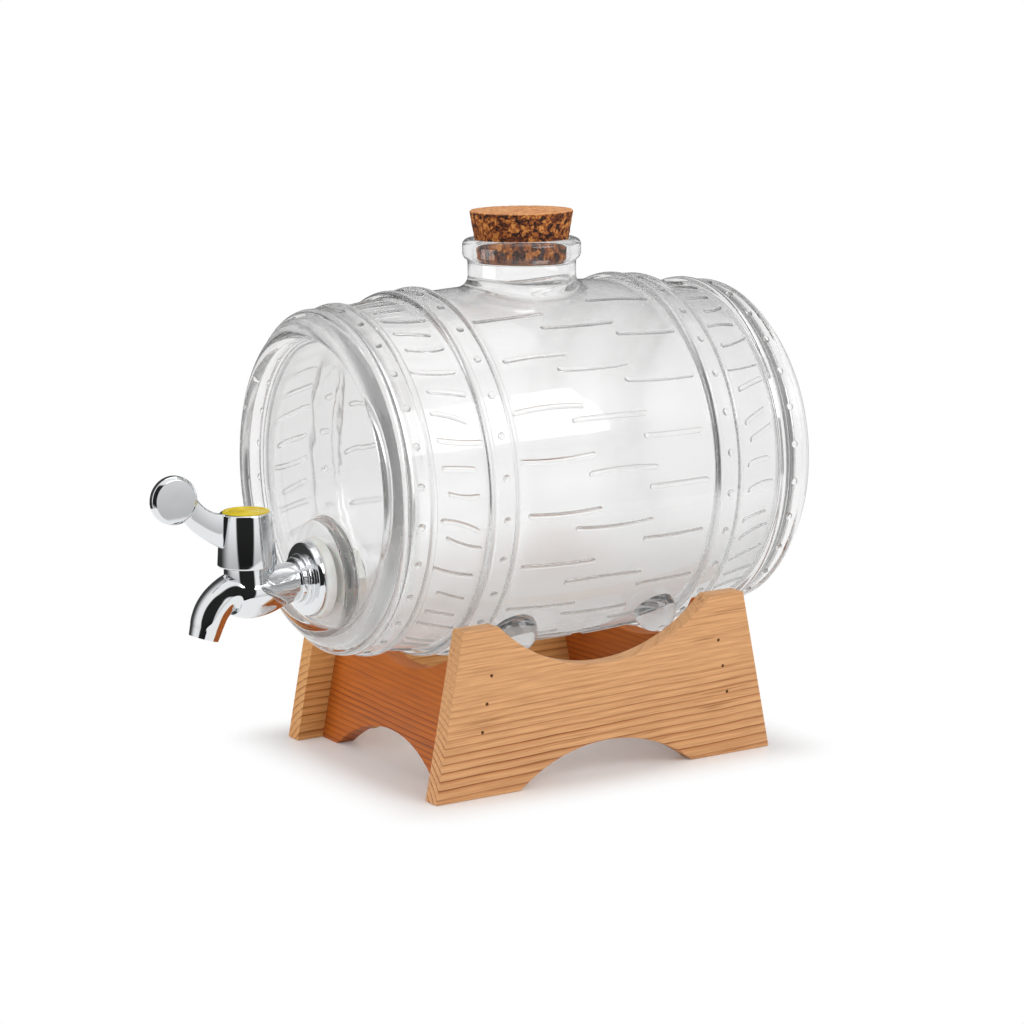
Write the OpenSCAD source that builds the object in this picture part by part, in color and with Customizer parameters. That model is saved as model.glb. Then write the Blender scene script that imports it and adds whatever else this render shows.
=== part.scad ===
// Glass barrel dispenser on a wooden stand, with a lever tap and a cork stopper.
// Millimetres, +Z up. The origin is on the table under the middle of the stand.
// The barrel lies along Y, and its tap faces -Y.

/* [Stand] */
// Height of the stand
stand_h = 80; // [72:1:90]
// Length of a side panel along its foot
panel_base = 189; // [181:1:200]
// Length of a side panel along its top edge
panel_top = 157; // [150:1:165]
// Thickness of the side panels
panel_t = 10; // [8:0.5:13]
// Clear width between the two side panels
stand_gap = 127.5; // [121:0.5:132]
// Radius of the scoops that the barrel lies over
scoop_r = 83.4; // [80:0.2:88]
// Depth of a side panel's scoop below the top edge
panel_scoop = 25; // [22:0.5:28]
// Depth of a cross board's scoop below the top edge
board_scoop = 31.5; // [29:0.5:35]
// Radius of the arches cut into the feet
arch_r = 77; // [70:1:90]
// Height of the arches
arch_h = 17.4; // [12:0.2:22]
// Thickness of the cross boards
board_t = 10; // [8:0.5:13]
// Distance from a side panel's end to a cross board's outer face
board_inset = 14; // [10:0.5:18]
// Diameter of the brads that pin the boards to the panels
brad_d = 1.6; // [1.2:0.1:2.4]
// Length of a brad
brad_len = 24; // [18:1:30]
// Depth of a brad's head below the panel's face
brad_set = 0.4; // [0.2:0.1:1]
// Height of the lowest brad of each joint
brad_low = 31.3; // [26:0.5:36]
// Spacing of the brads up a joint
brad_pitch = 13.1; // [10:0.1:14]

/* [Glass barrel] */
// Length of the barrel over its rims
barrel_len = 234.8; // [220:1:250]
// Outer radius of the belly at mid length
belly_r = 87.1; // [84:0.5:90]
// Outer radius of the staves where the rim's roll starts
end_r = 77.6; // [75:0.2:80]
// Radius of the rolled rim at each end
rim_roll = 6; // [4.5:0.5:7]
// Height of the rolled rim above the staves
rim_proud = 0.5; // [0.3:0.1:1]
// Depth of the heads behind the rims
head_recess = 9; // [8:0.5:12]
// Thickness of the heads
head_t = 5; // [4:0.5:7]
// Thickness of the glass wall
wall_t = 4.5; // [3.5:0.5:6]
// Radius of the rounded corner inside each end
inner_corner = 12; // [8:1:14]
// Width of the moulded hoops
hoop_w = 16; // [13:0.5:18]
// Height of the hoops' beaded edges above the staves
hoop_proud = 3.6; // [2.8:0.1:4.4]
// Radius of the beaded edges
bead_r = 2; // [1.6:0.1:2.4]
// Depth of the flat band between the beads
band_drop = 1.3; // [0.8:0.1:1.8]
// Distance from the barrel's end to the middle of an end hoop
end_hoop_in = 13.9; // [13:0.1:20]
// Distance from the barrel's end to the middle of a belly hoop
belly_hoop_in = 55.4; // [50:0.2:62]
// Number of rivet heads round each hoop
rivets = 28; // [16:4:32]
// Radius of a rivet head where it meets the band
rivet_r = 1.9; // [1.5:0.1:2.2]
// Height of a rivet head above the band
rivet_h = 1.2; // [0.8:0.1:1.3]
// Gap between the belly hoops and the side panels' top edges
hoop_gap = 1.2; // [0.4:0.1:2]
// Radius of the four ball feet
foot_r = 10.5; // [9.5:0.1:12]
// Height of the flat on each foot's tip
foot_flat = 0.6; // [0.4:0.1:1.5]
// Distance of the feet from mid length along the barrel
foot_y = 39.5; // [34:0.5:42]
// Distance from a foot's centre to the side panel's inner face
foot_inset = 8.75; // [7:0.25:9]
// Gap between the feet and the scoop edges that carry them
seat_gap = 0.3; // [0.2:0.05:0.6]

/* [Neck and stopper] */
// Outer radius of the neck
neck_r = 26.1; // [25.8:0.1:28]
// Outer radius of the neck's lip
lip_r = 28.6; // [27.5:0.1:31]
// Height of the lip
lip_h = 10; // [8:0.5:12]
// Radius of the lip's rounded edges
lip_round = 3.2; // [2:0.1:3.8]
// Height of the lip's top above the belly
neck_h = 21.4; // [17:0.2:30]
// Height and reach of the flare where the neck leaves the belly
neck_flare = 2.5; // [1.5:0.1:4]
// Radius of the stopper's top
cork_top_r = 25.1; // [24:0.1:26.5]
// Radius of the stopper's lower end
cork_low_r = 21.5; // [19.5:0.1:22.5]
// Height of the stopper
cork_h = 21.2; // [18:0.2:26]
// Depth of the stopper's lower end below the lip's top
cork_depth = 7.7; // [6:0.1:11]
// Bevel round the stopper's ends
cork_edge = 0.6; // [0.3:0.1:1]
// Radial gap between the stopper and the mouth's edge
cork_gap = 0.3; // [0.2:0.05:0.6]

/* [Tap fitting] */
// Distance of the tap hole below the barrel's axis
tap_drop = 44.5; // [41:0.5:46]
// Radius of the moulded boss round the tap hole
boss_r = 28; // [24:0.5:30]
// Height of the boss above the head
boss_proud = 5.5; // [4:0.5:7]
// Bevel round the boss's face
boss_edge = 1.2; // [0.6:0.1:2]
// Radius of the tap's threaded shank
shank_r = 8; // [7:0.1:9]
// Radial clearance of the shank in the glass
shank_gap = 0.5; // [0.3:0.1:1]
// Radius of the outer washer
outer_washer_r = 19.3; // [18.5:0.1:21]
// Thickness of the outer washer
outer_washer_t = 5; // [3:0.5:6]
// Radius of the inner washer
inner_washer_r = 15; // [13.5:0.1:16]
// Thickness of the inner washer
inner_washer_t = 3; // [2:0.5:4]
// Width across the flats of the back nut
nut_flats = 24; // [22:0.5:26]
// Thickness of the back nut
nut_t = 8; // [6:0.5:10]
// Length of the shank beyond the back nut
shank_tail = 3; // [2:0.5:6]

/* [Tap body] */
// Radius of the tap's flange
flange_r = 18.2; // [16:0.1:19]
// Thickness of the flange
flange_t = 3.5; // [2.5:0.1:5]
// Draw of the flange's edge towards its face
flange_draw = 1; // [0.4:0.1:1.6]
// Radius of the large collar ring
collar_r = 12.3; // [11.5:0.1:13.5]
// Width of each collar ring
collar_w = 2.6; // [2:0.1:3]
// Radius of the tap's body at its collar
body_root_r = 9.2; // [8.8:0.1:9.8]
// Distance from the flange's face to the handle's axis
handle_out = 28.5; // [27:0.1:32]
// Radius of the belly under the handle
body_belly_r = 12.2; // [11.8:0.1:12.8]
// Drop of the belly's centre below the shank's axis
body_belly_drop = 3; // [2.6:0.1:3.6]
// Radius of the water way
water_r = 4.4; // [3.5:0.1:4.8]
// Radius of the spout round its bend
spout_r = 8.2; // [7.4:0.1:9]
// Radius of the spout's tip
spout_tip_r = 7.1; // [6.4:0.1:7.3]
// Radius of the spout's bend
spout_bend = 19.5; // [18:0.1:22]
// Angle of the spout's bend
spout_turn = 72; // [66:1:80]
// Distance from the handle's axis to the start of the bend
spout_ahead = 2.4; // [1.5:0.1:4]
// Drop of the bend's start below the shank's axis
spout_drop = 0.5; // [0:0.1:1.5]
// Straight length at the spout's tip
spout_straight = 8; // [5:0.5:12]
// Radius of the neck that carries the handle
valve_neck_r = 11; // [10.6:0.1:11.2]
// Height of that neck above the shank's axis
valve_neck_h = 10.5; // [10.2:0.1:11]

/* [Valve] */
// Radius of the turning plug
plug_r = 7; // [6.4:0.1:7.4]
// Radius of the cross port through the plug
port_r = 3.8; // [3:0.1:4.2]
// Running clearance of the plug in the body
plug_gap = 0.06; // [0.03:0.01:0.1]
// Depth of the plug's lower end below the shank's axis
plug_depth = 8.4; // [8:0.1:8.8]
// Height of the plug's shoulder above the shank's axis
plug_shoulder = 6.6; // [6.2:0.1:7]
// Cord radius of the sealing rings
ring_cord = 0.9; // [0.7:0.1:1]
// Radius of the plug's stem
stem_r = 4.5; // [4:0.1:5]
// Radius of the gland nut's threaded part
gland_r = 9; // [8.4:0.1:9.4]
// Width across the flats of the gland nut's head
gland_flats = 18; // [17:0.5:19]
// Height of the gland nut's head
gland_head = 2.6; // [2:0.1:3.2]
// Clearance of fixed pieces that screw or slip together
slip_gap = 0.06; // [0.03:0.01:0.1]

/* [Handle] */
// Radius of the handle's cap at its lower edge
cap_low_r = 13.9; // [13.5:0.1:15]
// Radius of the handle's cap at its top
cap_top_r = 12.2; // [12:0.1:13]
// Height of the handle's cap
cap_h = 25.2; // [24:0.2:28]
// Bevel round the cap's top
cap_edge = 0.6; // [0.3:0.1:0.7]
// Gap between the cap's lower edge and the shank axis's level
cap_lift = 10; // [9.8:0.1:10.4]
// Radius of the hollow under the cap
cap_hollow_r = 11.5; // [11.4:0.1:11.8]
// Depth of the hollow under the cap
cap_hollow = 10; // [8:0.5:11]
// Width of the stem's square drive
drive_w = 6; // [5:0.1:6.2]
// Height of the square drive
drive_h = 7; // [5:0.5:8]
// Thickness of the web that the screw clamps
web_t = 2; // [1.5:0.1:3]
// Radius of the handle screw's head
screw_head_r = 3; // [2.6:0.1:3.4]
// Height of the handle screw's head
screw_head_h = 2; // [1.4:0.1:2.2]
// Clearance round the handle screw's head in its well
screw_well_gap = 1; // [0.6:0.1:1.4]
// Radius of the handle screw's thread
screw_r = 1.5; // [1.2:0.1:1.8]
// Length of the handle screw's thread
screw_len = 10; // [8:0.5:11]
// Radius of the index disc on the cap
index_r = 10.9; // [9.5:0.1:11.2]
// Thickness of the index disc
index_t = 2.6; // [2:0.1:3]
// Height of the index disc above the cap's top
index_proud = 0.6; // [0.3:0.1:1]
// Distance from the handle's axis to the lever's paddle
lever_reach = 36.3; // [33:0.5:42]
// Height of the paddle's centre above the cap's top
lever_rise = 9.1; // [6:0.5:12]
// Radius of the lever's round paddle
paddle_r = 11.3; // [9.5:0.1:12.5]
// Thickness of the lever's arm
lever_t = 4.2; // [3.6:0.1:4.8]
// Thickness of the paddle
paddle_t = 5.6; // [5:0.1:6.4]
// Bevel round the paddle's faces
paddle_bevel = 1.4; // [0.8:0.1:1.8]
// Radius of the hollow curve on the lever's upper edge
lever_hollow = 19.2; // [17:0.2:24]
// Distance from the handle's axis to the middle of that hollow curve
lever_hollow_out = 9; // [7:0.5:12]
// Height of the lever where it meets the cap
lever_root = 16; // [14:0.5:18]

/* [Hidden] */
$fn = 96;
// Overlap of one cutter or fused piece past another
eps = 1;
// Depth to which a cone's end lies inside the ball that it runs into
blend_in = 0.4;

// Stand
slope = (panel_base - panel_top) / 2 / stand_h;
panel_mid = stand_gap / 2 + panel_t / 2;
panel_scoop_z = stand_h - panel_scoop + scoop_r;
board_scoop_z = stand_h - board_scoop + scoop_r;
arch_z = arch_h - arch_r;
board_y = panel_base / 2 - board_inset;
brads_per_joint = 3;
brad_hole_r = brad_d / 2 + slip_gap;

// Barrel: the staves follow one arc from rim to rim
half_len = barrel_len / 2;
rim_s = half_len - rim_roll;
stave_sag = belly_r - end_r;
stave_arc = (rim_s * rim_s + stave_sag * stave_sag) / (2 * stave_sag);
stave_c = belly_r - stave_arc;
function stave_r(s) = stave_c + sqrt(stave_arc * stave_arc - s * s);
function stave_tilt(s) = asin(s / stave_arc);
end_hoop_s = half_len - end_hoop_in;
belly_hoop_s = half_len - belly_hoop_in;
hoop_r = stave_r(belly_hoop_s) + hoop_proud;
rivet_ball = (rivet_r * rivet_r + rivet_h * rivet_h) / (2 * rivet_h);
recess_r = end_r - 1.6 * rim_roll;
head_s = half_len - head_recess;
inner_s = head_s - head_t;
corner_s = inner_s - inner_corner;
corner_r = stave_r(corner_s) - wall_t - inner_corner;

// The barrel hangs its belly hoops just above the panels, on four ball feet in the scoops
axis_z = stand_h + hoop_gap + sqrt(pow(hoop_r, 2) - pow(stand_gap / 2, 2));
foot_x = stand_gap / 2 - foot_inset;
foot_c = scoop_r - sqrt(pow(foot_r + seat_gap, 2) - pow(foot_inset, 2));
foot_z = panel_scoop_z - sqrt(foot_c * foot_c - foot_y * foot_y);
foot_turn = atan2(foot_x, axis_z - foot_z);
foot_far = sqrt(pow(foot_x, 2) + pow(axis_z - foot_z, 2));
foot_stem_r = 0.85 * foot_r;

// Neck and stopper
belly_z = axis_z + belly_r;
lip_z = belly_z + neck_h;
mouth_r = cork_low_r + (cork_top_r - cork_low_r) * cork_depth / cork_h + cork_gap;

// Tap: out is the distance from the boss's face along the shank's axis
tap_z = axis_z - tap_drop;
boss_s = head_s + boss_proud;
flange_out = outer_washer_t;
face_out = flange_out + flange_t;
handle_y = -(boss_s + face_out + handle_out);
shank_in = boss_proud + head_t + inner_washer_t + nut_t + shank_tail;
spout_y = handle_y - spout_ahead;
spout_z = tap_z - spout_drop;
way_turn = asin((plug_r - spout_ahead) / spout_bend);
way_z = spout_z - spout_bend * (1 - cos(way_turn));

// Valve and handle heights
plug_floor = tap_z - plug_depth;
shoulder_z = tap_z + plug_shoulder;
neck_top = tap_z + valve_neck_h;
cap_z = tap_z + cap_lift;
cap_top = cap_z + cap_h;
hub_z = cap_z + cap_hollow;
drive_top = hub_z + drive_h;
web_top = drive_top + web_t;
ring_low_z = plug_floor + 1.6 * ring_cord;
ring_high_z = shoulder_z - 1.6 * ring_cord;
paddle_y = handle_y - lever_reach;
paddle_z = cap_top + lever_rise;
hollow_y = handle_y - lever_hollow_out;
hollow_z = cap_top + lever_hollow;

wood = [0.80, 0.58, 0.36];
chrome = [0.80, 0.81, 0.82];
silicone = [0.93, 0.93, 0.91];

// Shared shapes

// Extrudes a Y-Z outline along X, centred
module along_x(length) {
    rotate([90, 0, 90])
        linear_extrude(length, center = true)
            children();
}

// A cylinder along X or Y through the stand, for arches and scoops
module cut_x(r, z, length) {
    translate([0, 0, z])
        rotate([0, 90, 0])
            cylinder(r = r, h = length, center = true);
}

module cut_y(r, z, length) {
    translate([0, 0, z])
        rotate([90, 0, 0])
            cylinder(r = r, h = length, center = true);
}

// Places children on the shank's axis at the boss's face: +Z there points out of the tap
module on_tap() {
    translate([0, -boss_s, tap_z])
        rotate([90, 0, 0])
            children();
}

// A round washer that starts at out and grows outwards
module washer(out, r, hole_r, t) {
    on_tap()
        translate([0, 0, out])
            difference() {
                cylinder(r = r, h = t);
                translate([0, 0, -eps])
                    cylinder(r = hole_r, h = t + 2 * eps);
            }
}

// A sealing ring lying round the handle's axis
module sealing_ring(z) {
    translate([0, handle_y, z])
        rotate_extrude()
            translate([plug_r - ring_cord, 0])
                circle(r = ring_cord - slip_gap);
}

// Stand pieces

module brad_places(side_y) {
    for (i = [0 : brads_per_joint - 1]) {
        z = brad_low + i * brad_pitch;
        y = board_y - board_t / 2 - slope * z;
        translate([0, side_y * y, z])
            children();
    }
}

module brad_holes() {
    for (side_y = [-1, 1])
        brad_places(side_y)
            rotate([0, 90, 0])
                cylinder(r = brad_hole_r, h = stand_gap + 2 * panel_t + 2 * eps, center = true);
}

module side_panel(side) {
    half_base = panel_base / 2;
    half_top = panel_top / 2;
    difference() {
        translate([side * panel_mid, 0, 0])
            along_x(panel_t)
                polygon([[-half_base, 0], [half_base, 0], [half_top, stand_h], [-half_top, stand_h]]);
        cut_x(scoop_r, panel_scoop_z, 2 * stand_gap);
        cut_x(arch_r, arch_z, 2 * stand_gap);
        brad_holes();
    }
}

module side_panel_left() {
    color(wood) side_panel(-1);
}

module side_panel_right() {
    color(wood) side_panel(1);
}

// A board between the panels, leaning with their ends
module cradle_board(side_y) {
    lean = slope * stand_h;
    brad_end = stand_gap / 2 + panel_t - brad_set - brad_len;
    difference() {
        along_x(stand_gap)
            polygon([
                [side_y * board_y, 0],
                [side_y * (board_y - board_t), 0],
                [side_y * (board_y - board_t - lean), stand_h],
                [side_y * (board_y - lean), stand_h]
            ]);
        cut_y(scoop_r, board_scoop_z, 2 * panel_base);
        cut_y(arch_r, arch_z, 2 * panel_base);
        for (side = [-1, 1])
            brad_places(side_y)
                translate([side * (brad_end + stand_gap) / 2, 0, 0])
                    rotate([0, 90, 0])
                        cylinder(r = brad_hole_r, h = stand_gap - brad_end, center = true);
    }
}

module front_cradle_board() {
    color(wood) cradle_board(-1);
}

module rear_cradle_board() {
    color(wood) cradle_board(1);
}

module board_brads(side_y) {
    head_x = stand_gap / 2 + panel_t - brad_set;
    for (side = [-1, 1])
        brad_places(side_y)
            translate([side * (head_x - brad_len / 2), 0, 0])
                rotate([0, 90, 0])
                    cylinder(d = brad_d, h = brad_len, center = true);
}

module front_board_brads() {
    color("dimgray") board_brads(-1);
}

module rear_board_brads() {
    color("dimgray") board_brads(1);
}

// Glass barrel. The outline is drawn as radius across and distance along the axis.

// Room inside the stave arc, drawn in by inset, out to half_span on both sides
module stave_outline(inset, half_span) {
    intersection() {
        translate([stave_c, 0])
            circle(r = stave_arc - inset);
        translate([0, -half_span])
            square([2 * belly_r, 2 * half_span]);
    }
}

// One hoop: a band between two rolled beads, leaning with the staves
module hoop_outline(s) {
    bead_s = hoop_w / 2 - bead_r;
    translate([stave_r(s), s])
        rotate(stave_tilt(s)) {
            translate([-bead_r, -bead_s])
                square([bead_r + hoop_proud - band_drop, 2 * bead_s]);
            for (end = [-1, 1])
                translate([hoop_proud - bead_r, end * bead_s])
                    circle(r = bead_r);
        }
}

module barrel_outline() {
    difference() {
        stave_outline(0, rim_s);
        for (end = [-1, 1])
            translate([0, end * (head_s + half_len) / 2])
                square([2 * recess_r, half_len - head_s], center = true);
    }
    for (end = [-1, 1]) {
        translate([end_r + rim_proud - rim_roll, end * rim_s])
            circle(r = rim_roll);
        hoop_outline(end * end_hoop_s);
        hoop_outline(end * belly_hoop_s);
    }
}

module cavity_outline() {
    stave_outline(wall_t, corner_s);
    translate([0, -inner_s])
        square([corner_r, 2 * inner_s]);
    for (end = [-1, 1])
        intersection() {
            translate([corner_r, end * corner_s])
                circle(r = inner_corner);
            translate([0, end * (corner_s + inner_s) / 2])
                square([4 * belly_r, inner_s - corner_s], center = true);
        }
}

module along_barrel() {
    translate([0, 0, axis_z])
        rotate([90, 0, 0])
            rotate_extrude()
                children();
}

// Round rivet heads on the bands of the hoops, square to the staves
module rivet_heads() {
    translate([0, 0, axis_z])
        rotate([90, 0, 0])
            for (end = [-1, 1], s = [end_hoop_s, belly_hoop_s], i = [0 : rivets - 1])
                rotate([0, 0, (i + 0.5) * 360 / rivets])
                    translate([stave_r(s), 0, end * s])
                        rotate([0, -end * stave_tilt(s), 0])
                            translate([hoop_proud - band_drop + rivet_h - rivet_ball, 0, 0])
                                sphere(r = rivet_ball);
}

module neck_solid() {
    root_z = axis_z + 0.8 * belly_r;
    flare_z = belly_z;
    cylinder_h = lip_z - root_z;
    translate([0, 0, root_z])
        cylinder(r = neck_r, h = cylinder_h);
    translate([0, 0, root_z])
        cylinder(r = neck_r + neck_flare, h = flare_z - root_z);
    translate([0, 0, flare_z])
        cylinder(r1 = neck_r + neck_flare, r2 = neck_r, h = neck_flare);
    translate([0, 0, lip_z - lip_h])
        rotate_extrude() {
            square([lip_r - lip_round, lip_h]);
            translate([0, lip_round])
                square([lip_r, lip_h - 2 * lip_round]);
            for (z = [lip_round, lip_h - lip_round])
                translate([lip_r - lip_round, z])
                    circle(r = lip_round);
        }
}

// A ball with a flat tip, on a short stem
module foot_outline() {
    intersection() {
        circle(r = foot_r);
        translate([0, -foot_r])
            square([foot_r, 2 * foot_r - foot_flat]);
    }
    translate([0, -foot_r])
        square([foot_stem_r, foot_r]);
}

// Ball feet that spring from the staves, square to them
module feet() {
    for (side = [-1, 1], end = [-1, 1])
        translate([0, end * foot_y, axis_z])
            rotate([0, 180 - side * foot_turn, 0])
                translate([0, 0, foot_far])
                    rotate_extrude()
                        foot_outline();
}

module barrel_glass() {
    color([0.88, 0.92, 0.93, 0.4])
        difference() {
            union() {
                along_barrel() barrel_outline();
                rivet_heads();
                neck_solid();
                feet();
                on_tap() {
                    translate([0, 0, -boss_proud - head_t / 2])
                        cylinder(r = boss_r, h = boss_proud + head_t / 2 - boss_edge);
                    translate([0, 0, -boss_edge])
                        cylinder(r1 = boss_r, r2 = boss_r - boss_edge, h = boss_edge);
                }
            }
            along_barrel() cavity_outline();
            translate([0, 0, axis_z])
                cylinder(r = mouth_r, h = lip_z - axis_z + eps);
            on_tap()
                translate([0, 0, -boss_proud - head_t - eps])
                    cylinder(r = shank_r + shank_gap, h = boss_proud + head_t + 2 * eps);
        }
}

// A cone with bevelled ends
module cork_stopper() {
    draw = (cork_top_r - cork_low_r) / cork_h;
    color([0.72, 0.47, 0.27])
        translate([0, 0, lip_z - cork_depth])
            rotate_extrude()
                polygon([
                    [0, 0],
                    [cork_low_r - cork_edge, 0],
                    [cork_low_r + draw * cork_edge, cork_edge],
                    [cork_top_r - draw * cork_edge, cork_h - cork_edge],
                    [cork_top_r - cork_edge, cork_h],
                    [0, cork_h]
                ]);
}

// Tap fitting

module outer_washer() {
    color(silicone)
        washer(0, outer_washer_r, shank_r + slip_gap, outer_washer_t);
}

module inner_washer() {
    color(silicone)
        washer(-boss_proud - head_t - inner_washer_t, inner_washer_r, shank_r + slip_gap, inner_washer_t);
}

module back_nut() {
    color("whitesmoke")
        on_tap()
            translate([0, 0, -boss_proud - head_t - inner_washer_t - nut_t])
                difference() {
                    cylinder(d = nut_flats / cos(30), h = nut_t, $fn = 6);
                    translate([0, 0, -eps])
                        cylinder(r = shank_r + slip_gap, h = nut_t + 2 * eps);
                }
}

// Tap body

// A round rod round the spout's bend, then straight on with its radius drawn to tip_r
module spout_rod(r, tip_r, straight) {
    translate([0, spout_y, spout_z - spout_bend])
        rotate([0, 90, 180])
            rotate([0, 0, 180 - spout_turn]) {
                rotate_extrude(angle = spout_turn)
                    translate([spout_bend, 0])
                        circle(r = r);
                translate([spout_bend, 0, 0])
                    rotate([90, 0, 0])
                        cylinder(r1 = r, r2 = tip_r, h = straight);
            }
}

// Fixed shell of the tap from the flange to the valve neck
module body_shell() {
    belly_out = face_out + handle_out;
    on_tap() {
        translate([0, 0, -shank_in])
            cylinder(r = shank_r, h = shank_in + flange_out + eps);
        translate([0, 0, flange_out])
            cylinder(r1 = flange_r, r2 = flange_r - flange_draw, h = flange_t);
        translate([0, 0, face_out - eps])
            cylinder(r = collar_r, h = collar_w + eps);
        translate([0, 0, face_out + collar_w - eps])
            cylinder(r = (collar_r + body_root_r) / 2, h = collar_w + eps);
        rotate([atan2(body_belly_drop, handle_out), 0, 0])
            translate([0, 0, face_out])
                cylinder(r1 = body_root_r, r2 = body_belly_r - blend_in, h = handle_out);
        translate([0, -body_belly_drop, belly_out])
            sphere(r = body_belly_r);
    }
    translate([0, handle_y, tap_z - body_belly_drop])
        cylinder(r = valve_neck_r, h = neck_top - tap_z + body_belly_drop);
}

module tap_body() {
    color(chrome)
        difference() {
            union() {
                body_shell();
                spout_rod(spout_r, spout_tip_r, spout_straight);
            }
            on_tap()
                translate([0, 0, -shank_in - eps])
                    cylinder(r = water_r, h = shank_in + face_out + handle_out + eps);
            spout_rod(water_r, water_r, spout_straight + eps);
            translate([0, handle_y, plug_floor - slip_gap])
                cylinder(r = plug_r + plug_gap, h = neck_top - plug_floor + eps);
            translate([0, handle_y, shoulder_z + slip_gap])
                cylinder(r = gland_r + slip_gap, h = neck_top - shoulder_z + eps);
        }
}

// Screwed into the valve neck: keeps the plug down and guides its stem
module gland_nut() {
    seat_z = shoulder_z + slip_gap;
    color("gainsboro")
        translate([0, handle_y, 0])
            difference() {
                union() {
                    translate([0, 0, seat_z])
                        cylinder(r = gland_r, h = neck_top - seat_z);
                    translate([0, 0, neck_top])
                        cylinder(d = gland_flats / cos(30), h = gland_head, $fn = 6);
                }
                translate([0, 0, seat_z - eps])
                    cylinder(r = stem_r + plug_gap, h = neck_top + gland_head - seat_z + 2 * eps);
            }
}

// Turning plug: its cross port lies along X while the tap is shut
module valve_plug() {
    port_z = (tap_z + way_z) / 2;
    color("ivory")
        translate([0, handle_y, 0])
            difference() {
                union() {
                    translate([0, 0, plug_floor])
                        cylinder(r = plug_r, h = shoulder_z - plug_floor);
                    translate([0, 0, shoulder_z - eps])
                        cylinder(r = stem_r, h = hub_z - shoulder_z + eps);
                    translate([-drive_w / 2, -drive_w / 2, hub_z - eps])
                        cube([drive_w, drive_w, drive_h + eps - slip_gap]);
                }
                translate([0, 0, port_z])
                    rotate([0, 90, 0])
                        cylinder(r = port_r, h = 4 * plug_r, center = true);
                for (z = [ring_low_z, ring_high_z])
                    translate([0, 0, z])
                        rotate_extrude()
                            translate([plug_r - 2 * ring_cord, -ring_cord])
                                square([2 * ring_cord + eps, 2 * ring_cord]);
                translate([0, 0, web_top - screw_len - eps])
                    cylinder(r = screw_r + slip_gap, h = screw_len + 2 * eps);
            }
}

module upper_sealing_ring() {
    color("dimgray") sealing_ring(ring_high_z);
}

module lower_sealing_ring() {
    color("dimgray") sealing_ring(ring_low_z);
}

// Handle

// Side view of the lever: a round paddle on an arm with a hollow upper edge
module lever_outline() {
    root_y = handle_y - cap_top_r / 2;
    low_y = handle_y - cap_low_r;
    difference() {
        polygon([
            [root_y, cap_top],
            [root_y, cap_top - lever_root],
            [low_y, cap_top - lever_root],
            [paddle_y + 0.4 * paddle_r, paddle_z - 0.9 * paddle_r],
            [paddle_y, paddle_z],
            [paddle_y + 0.9 * paddle_r, paddle_z + 0.3 * paddle_r]
        ]);
        translate([hollow_y, hollow_z])
            circle(r = lever_hollow);
    }
}

module paddle() {
    rim_t = paddle_t - 2 * paddle_bevel;
    translate([0, paddle_y, paddle_z])
        rotate([0, 90, 0]) {
            cylinder(r = paddle_r, h = rim_t, center = true);
            for (turn = [0, 180])
                rotate([turn, 0, 0])
                    translate([0, 0, rim_t / 2])
                        cylinder(r1 = paddle_r, r2 = paddle_r - paddle_bevel, h = paddle_bevel);
        }
}

module tap_handle() {
    color(chrome)
        difference() {
            union() {
                translate([0, handle_y, cap_z])
                    cylinder(r1 = cap_low_r, r2 = cap_top_r, h = cap_h - cap_edge);
                translate([0, handle_y, cap_top - cap_edge])
                    cylinder(r1 = cap_top_r, r2 = cap_top_r - cap_edge, h = cap_edge);
                along_x(lever_t) lever_outline();
                paddle();
            }
            translate([0, handle_y, 0]) {
                translate([0, 0, cap_z - eps])
                    cylinder(r = cap_hollow_r, h = cap_hollow + eps);
                translate([-drive_w / 2 - slip_gap, -drive_w / 2 - slip_gap, hub_z - eps])
                    cube([drive_w + 2 * slip_gap, drive_w + 2 * slip_gap, drive_h + eps]);
                translate([0, 0, drive_top - eps])
                    cylinder(r = screw_r + slip_gap, h = cap_h);
                translate([0, 0, web_top])
                    cylinder(r = screw_head_r + screw_well_gap, h = cap_h);
                translate([0, 0, cap_top - index_t + index_proud])
                    cylinder(r = index_r + slip_gap, h = cap_h);
            }
        }
}

module handle_screw() {
    color("silver")
        translate([0, handle_y, web_top]) {
            cylinder(r = screw_head_r, h = screw_head_h);
            translate([0, 0, -screw_len])
                cylinder(r = screw_r, h = screw_len + eps);
        }
}

// Round disc pressed into the cap's top, with a raised rim and a raised ring inside it
module index_disc() {
    face_t = index_t - index_proud / 2;
    color("gold")
        translate([0, handle_y, cap_top + index_proud - index_t])
            difference() {
                cylinder(r = index_r, h = index_t);
                translate([0, 0, face_t])
                    difference() {
                        cylinder(r = 0.82 * index_r, h = eps);
                        translate([0, 0, -eps])
                            cylinder(r = 0.58 * index_r, h = 3 * eps);
                    }
                translate([0, 0, face_t])
                    cylinder(r = 0.46 * index_r, h = eps);
            }
}

side_panel_left();
side_panel_right();
front_cradle_board();
rear_cradle_board();
front_board_brads();
rear_board_brads();
barrel_glass();
cork_stopper();
outer_washer();
inner_washer();
back_nut();
tap_body();
gland_nut();
valve_plug();
upper_sealing_ring();
lower_sealing_ring();
tap_handle();
handle_screw();
index_disc();
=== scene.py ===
"""Looks of a glass barrel dispenser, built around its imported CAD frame.

A clear barrel of moulded glass lies on a wooden stand, with a cork stopper in its neck and a chromed lever
tap in one head. Sizes are in millimetres and turn to metres only where a mesh is made. +Z is up, the barrel
lies along Y and its tap faces -Y. Places come from the frame, shapes from the sizes that each class holds.
"""

import logging
import math
from collections.abc import Sequence
from dataclasses import dataclass
from enum import Enum

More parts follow.
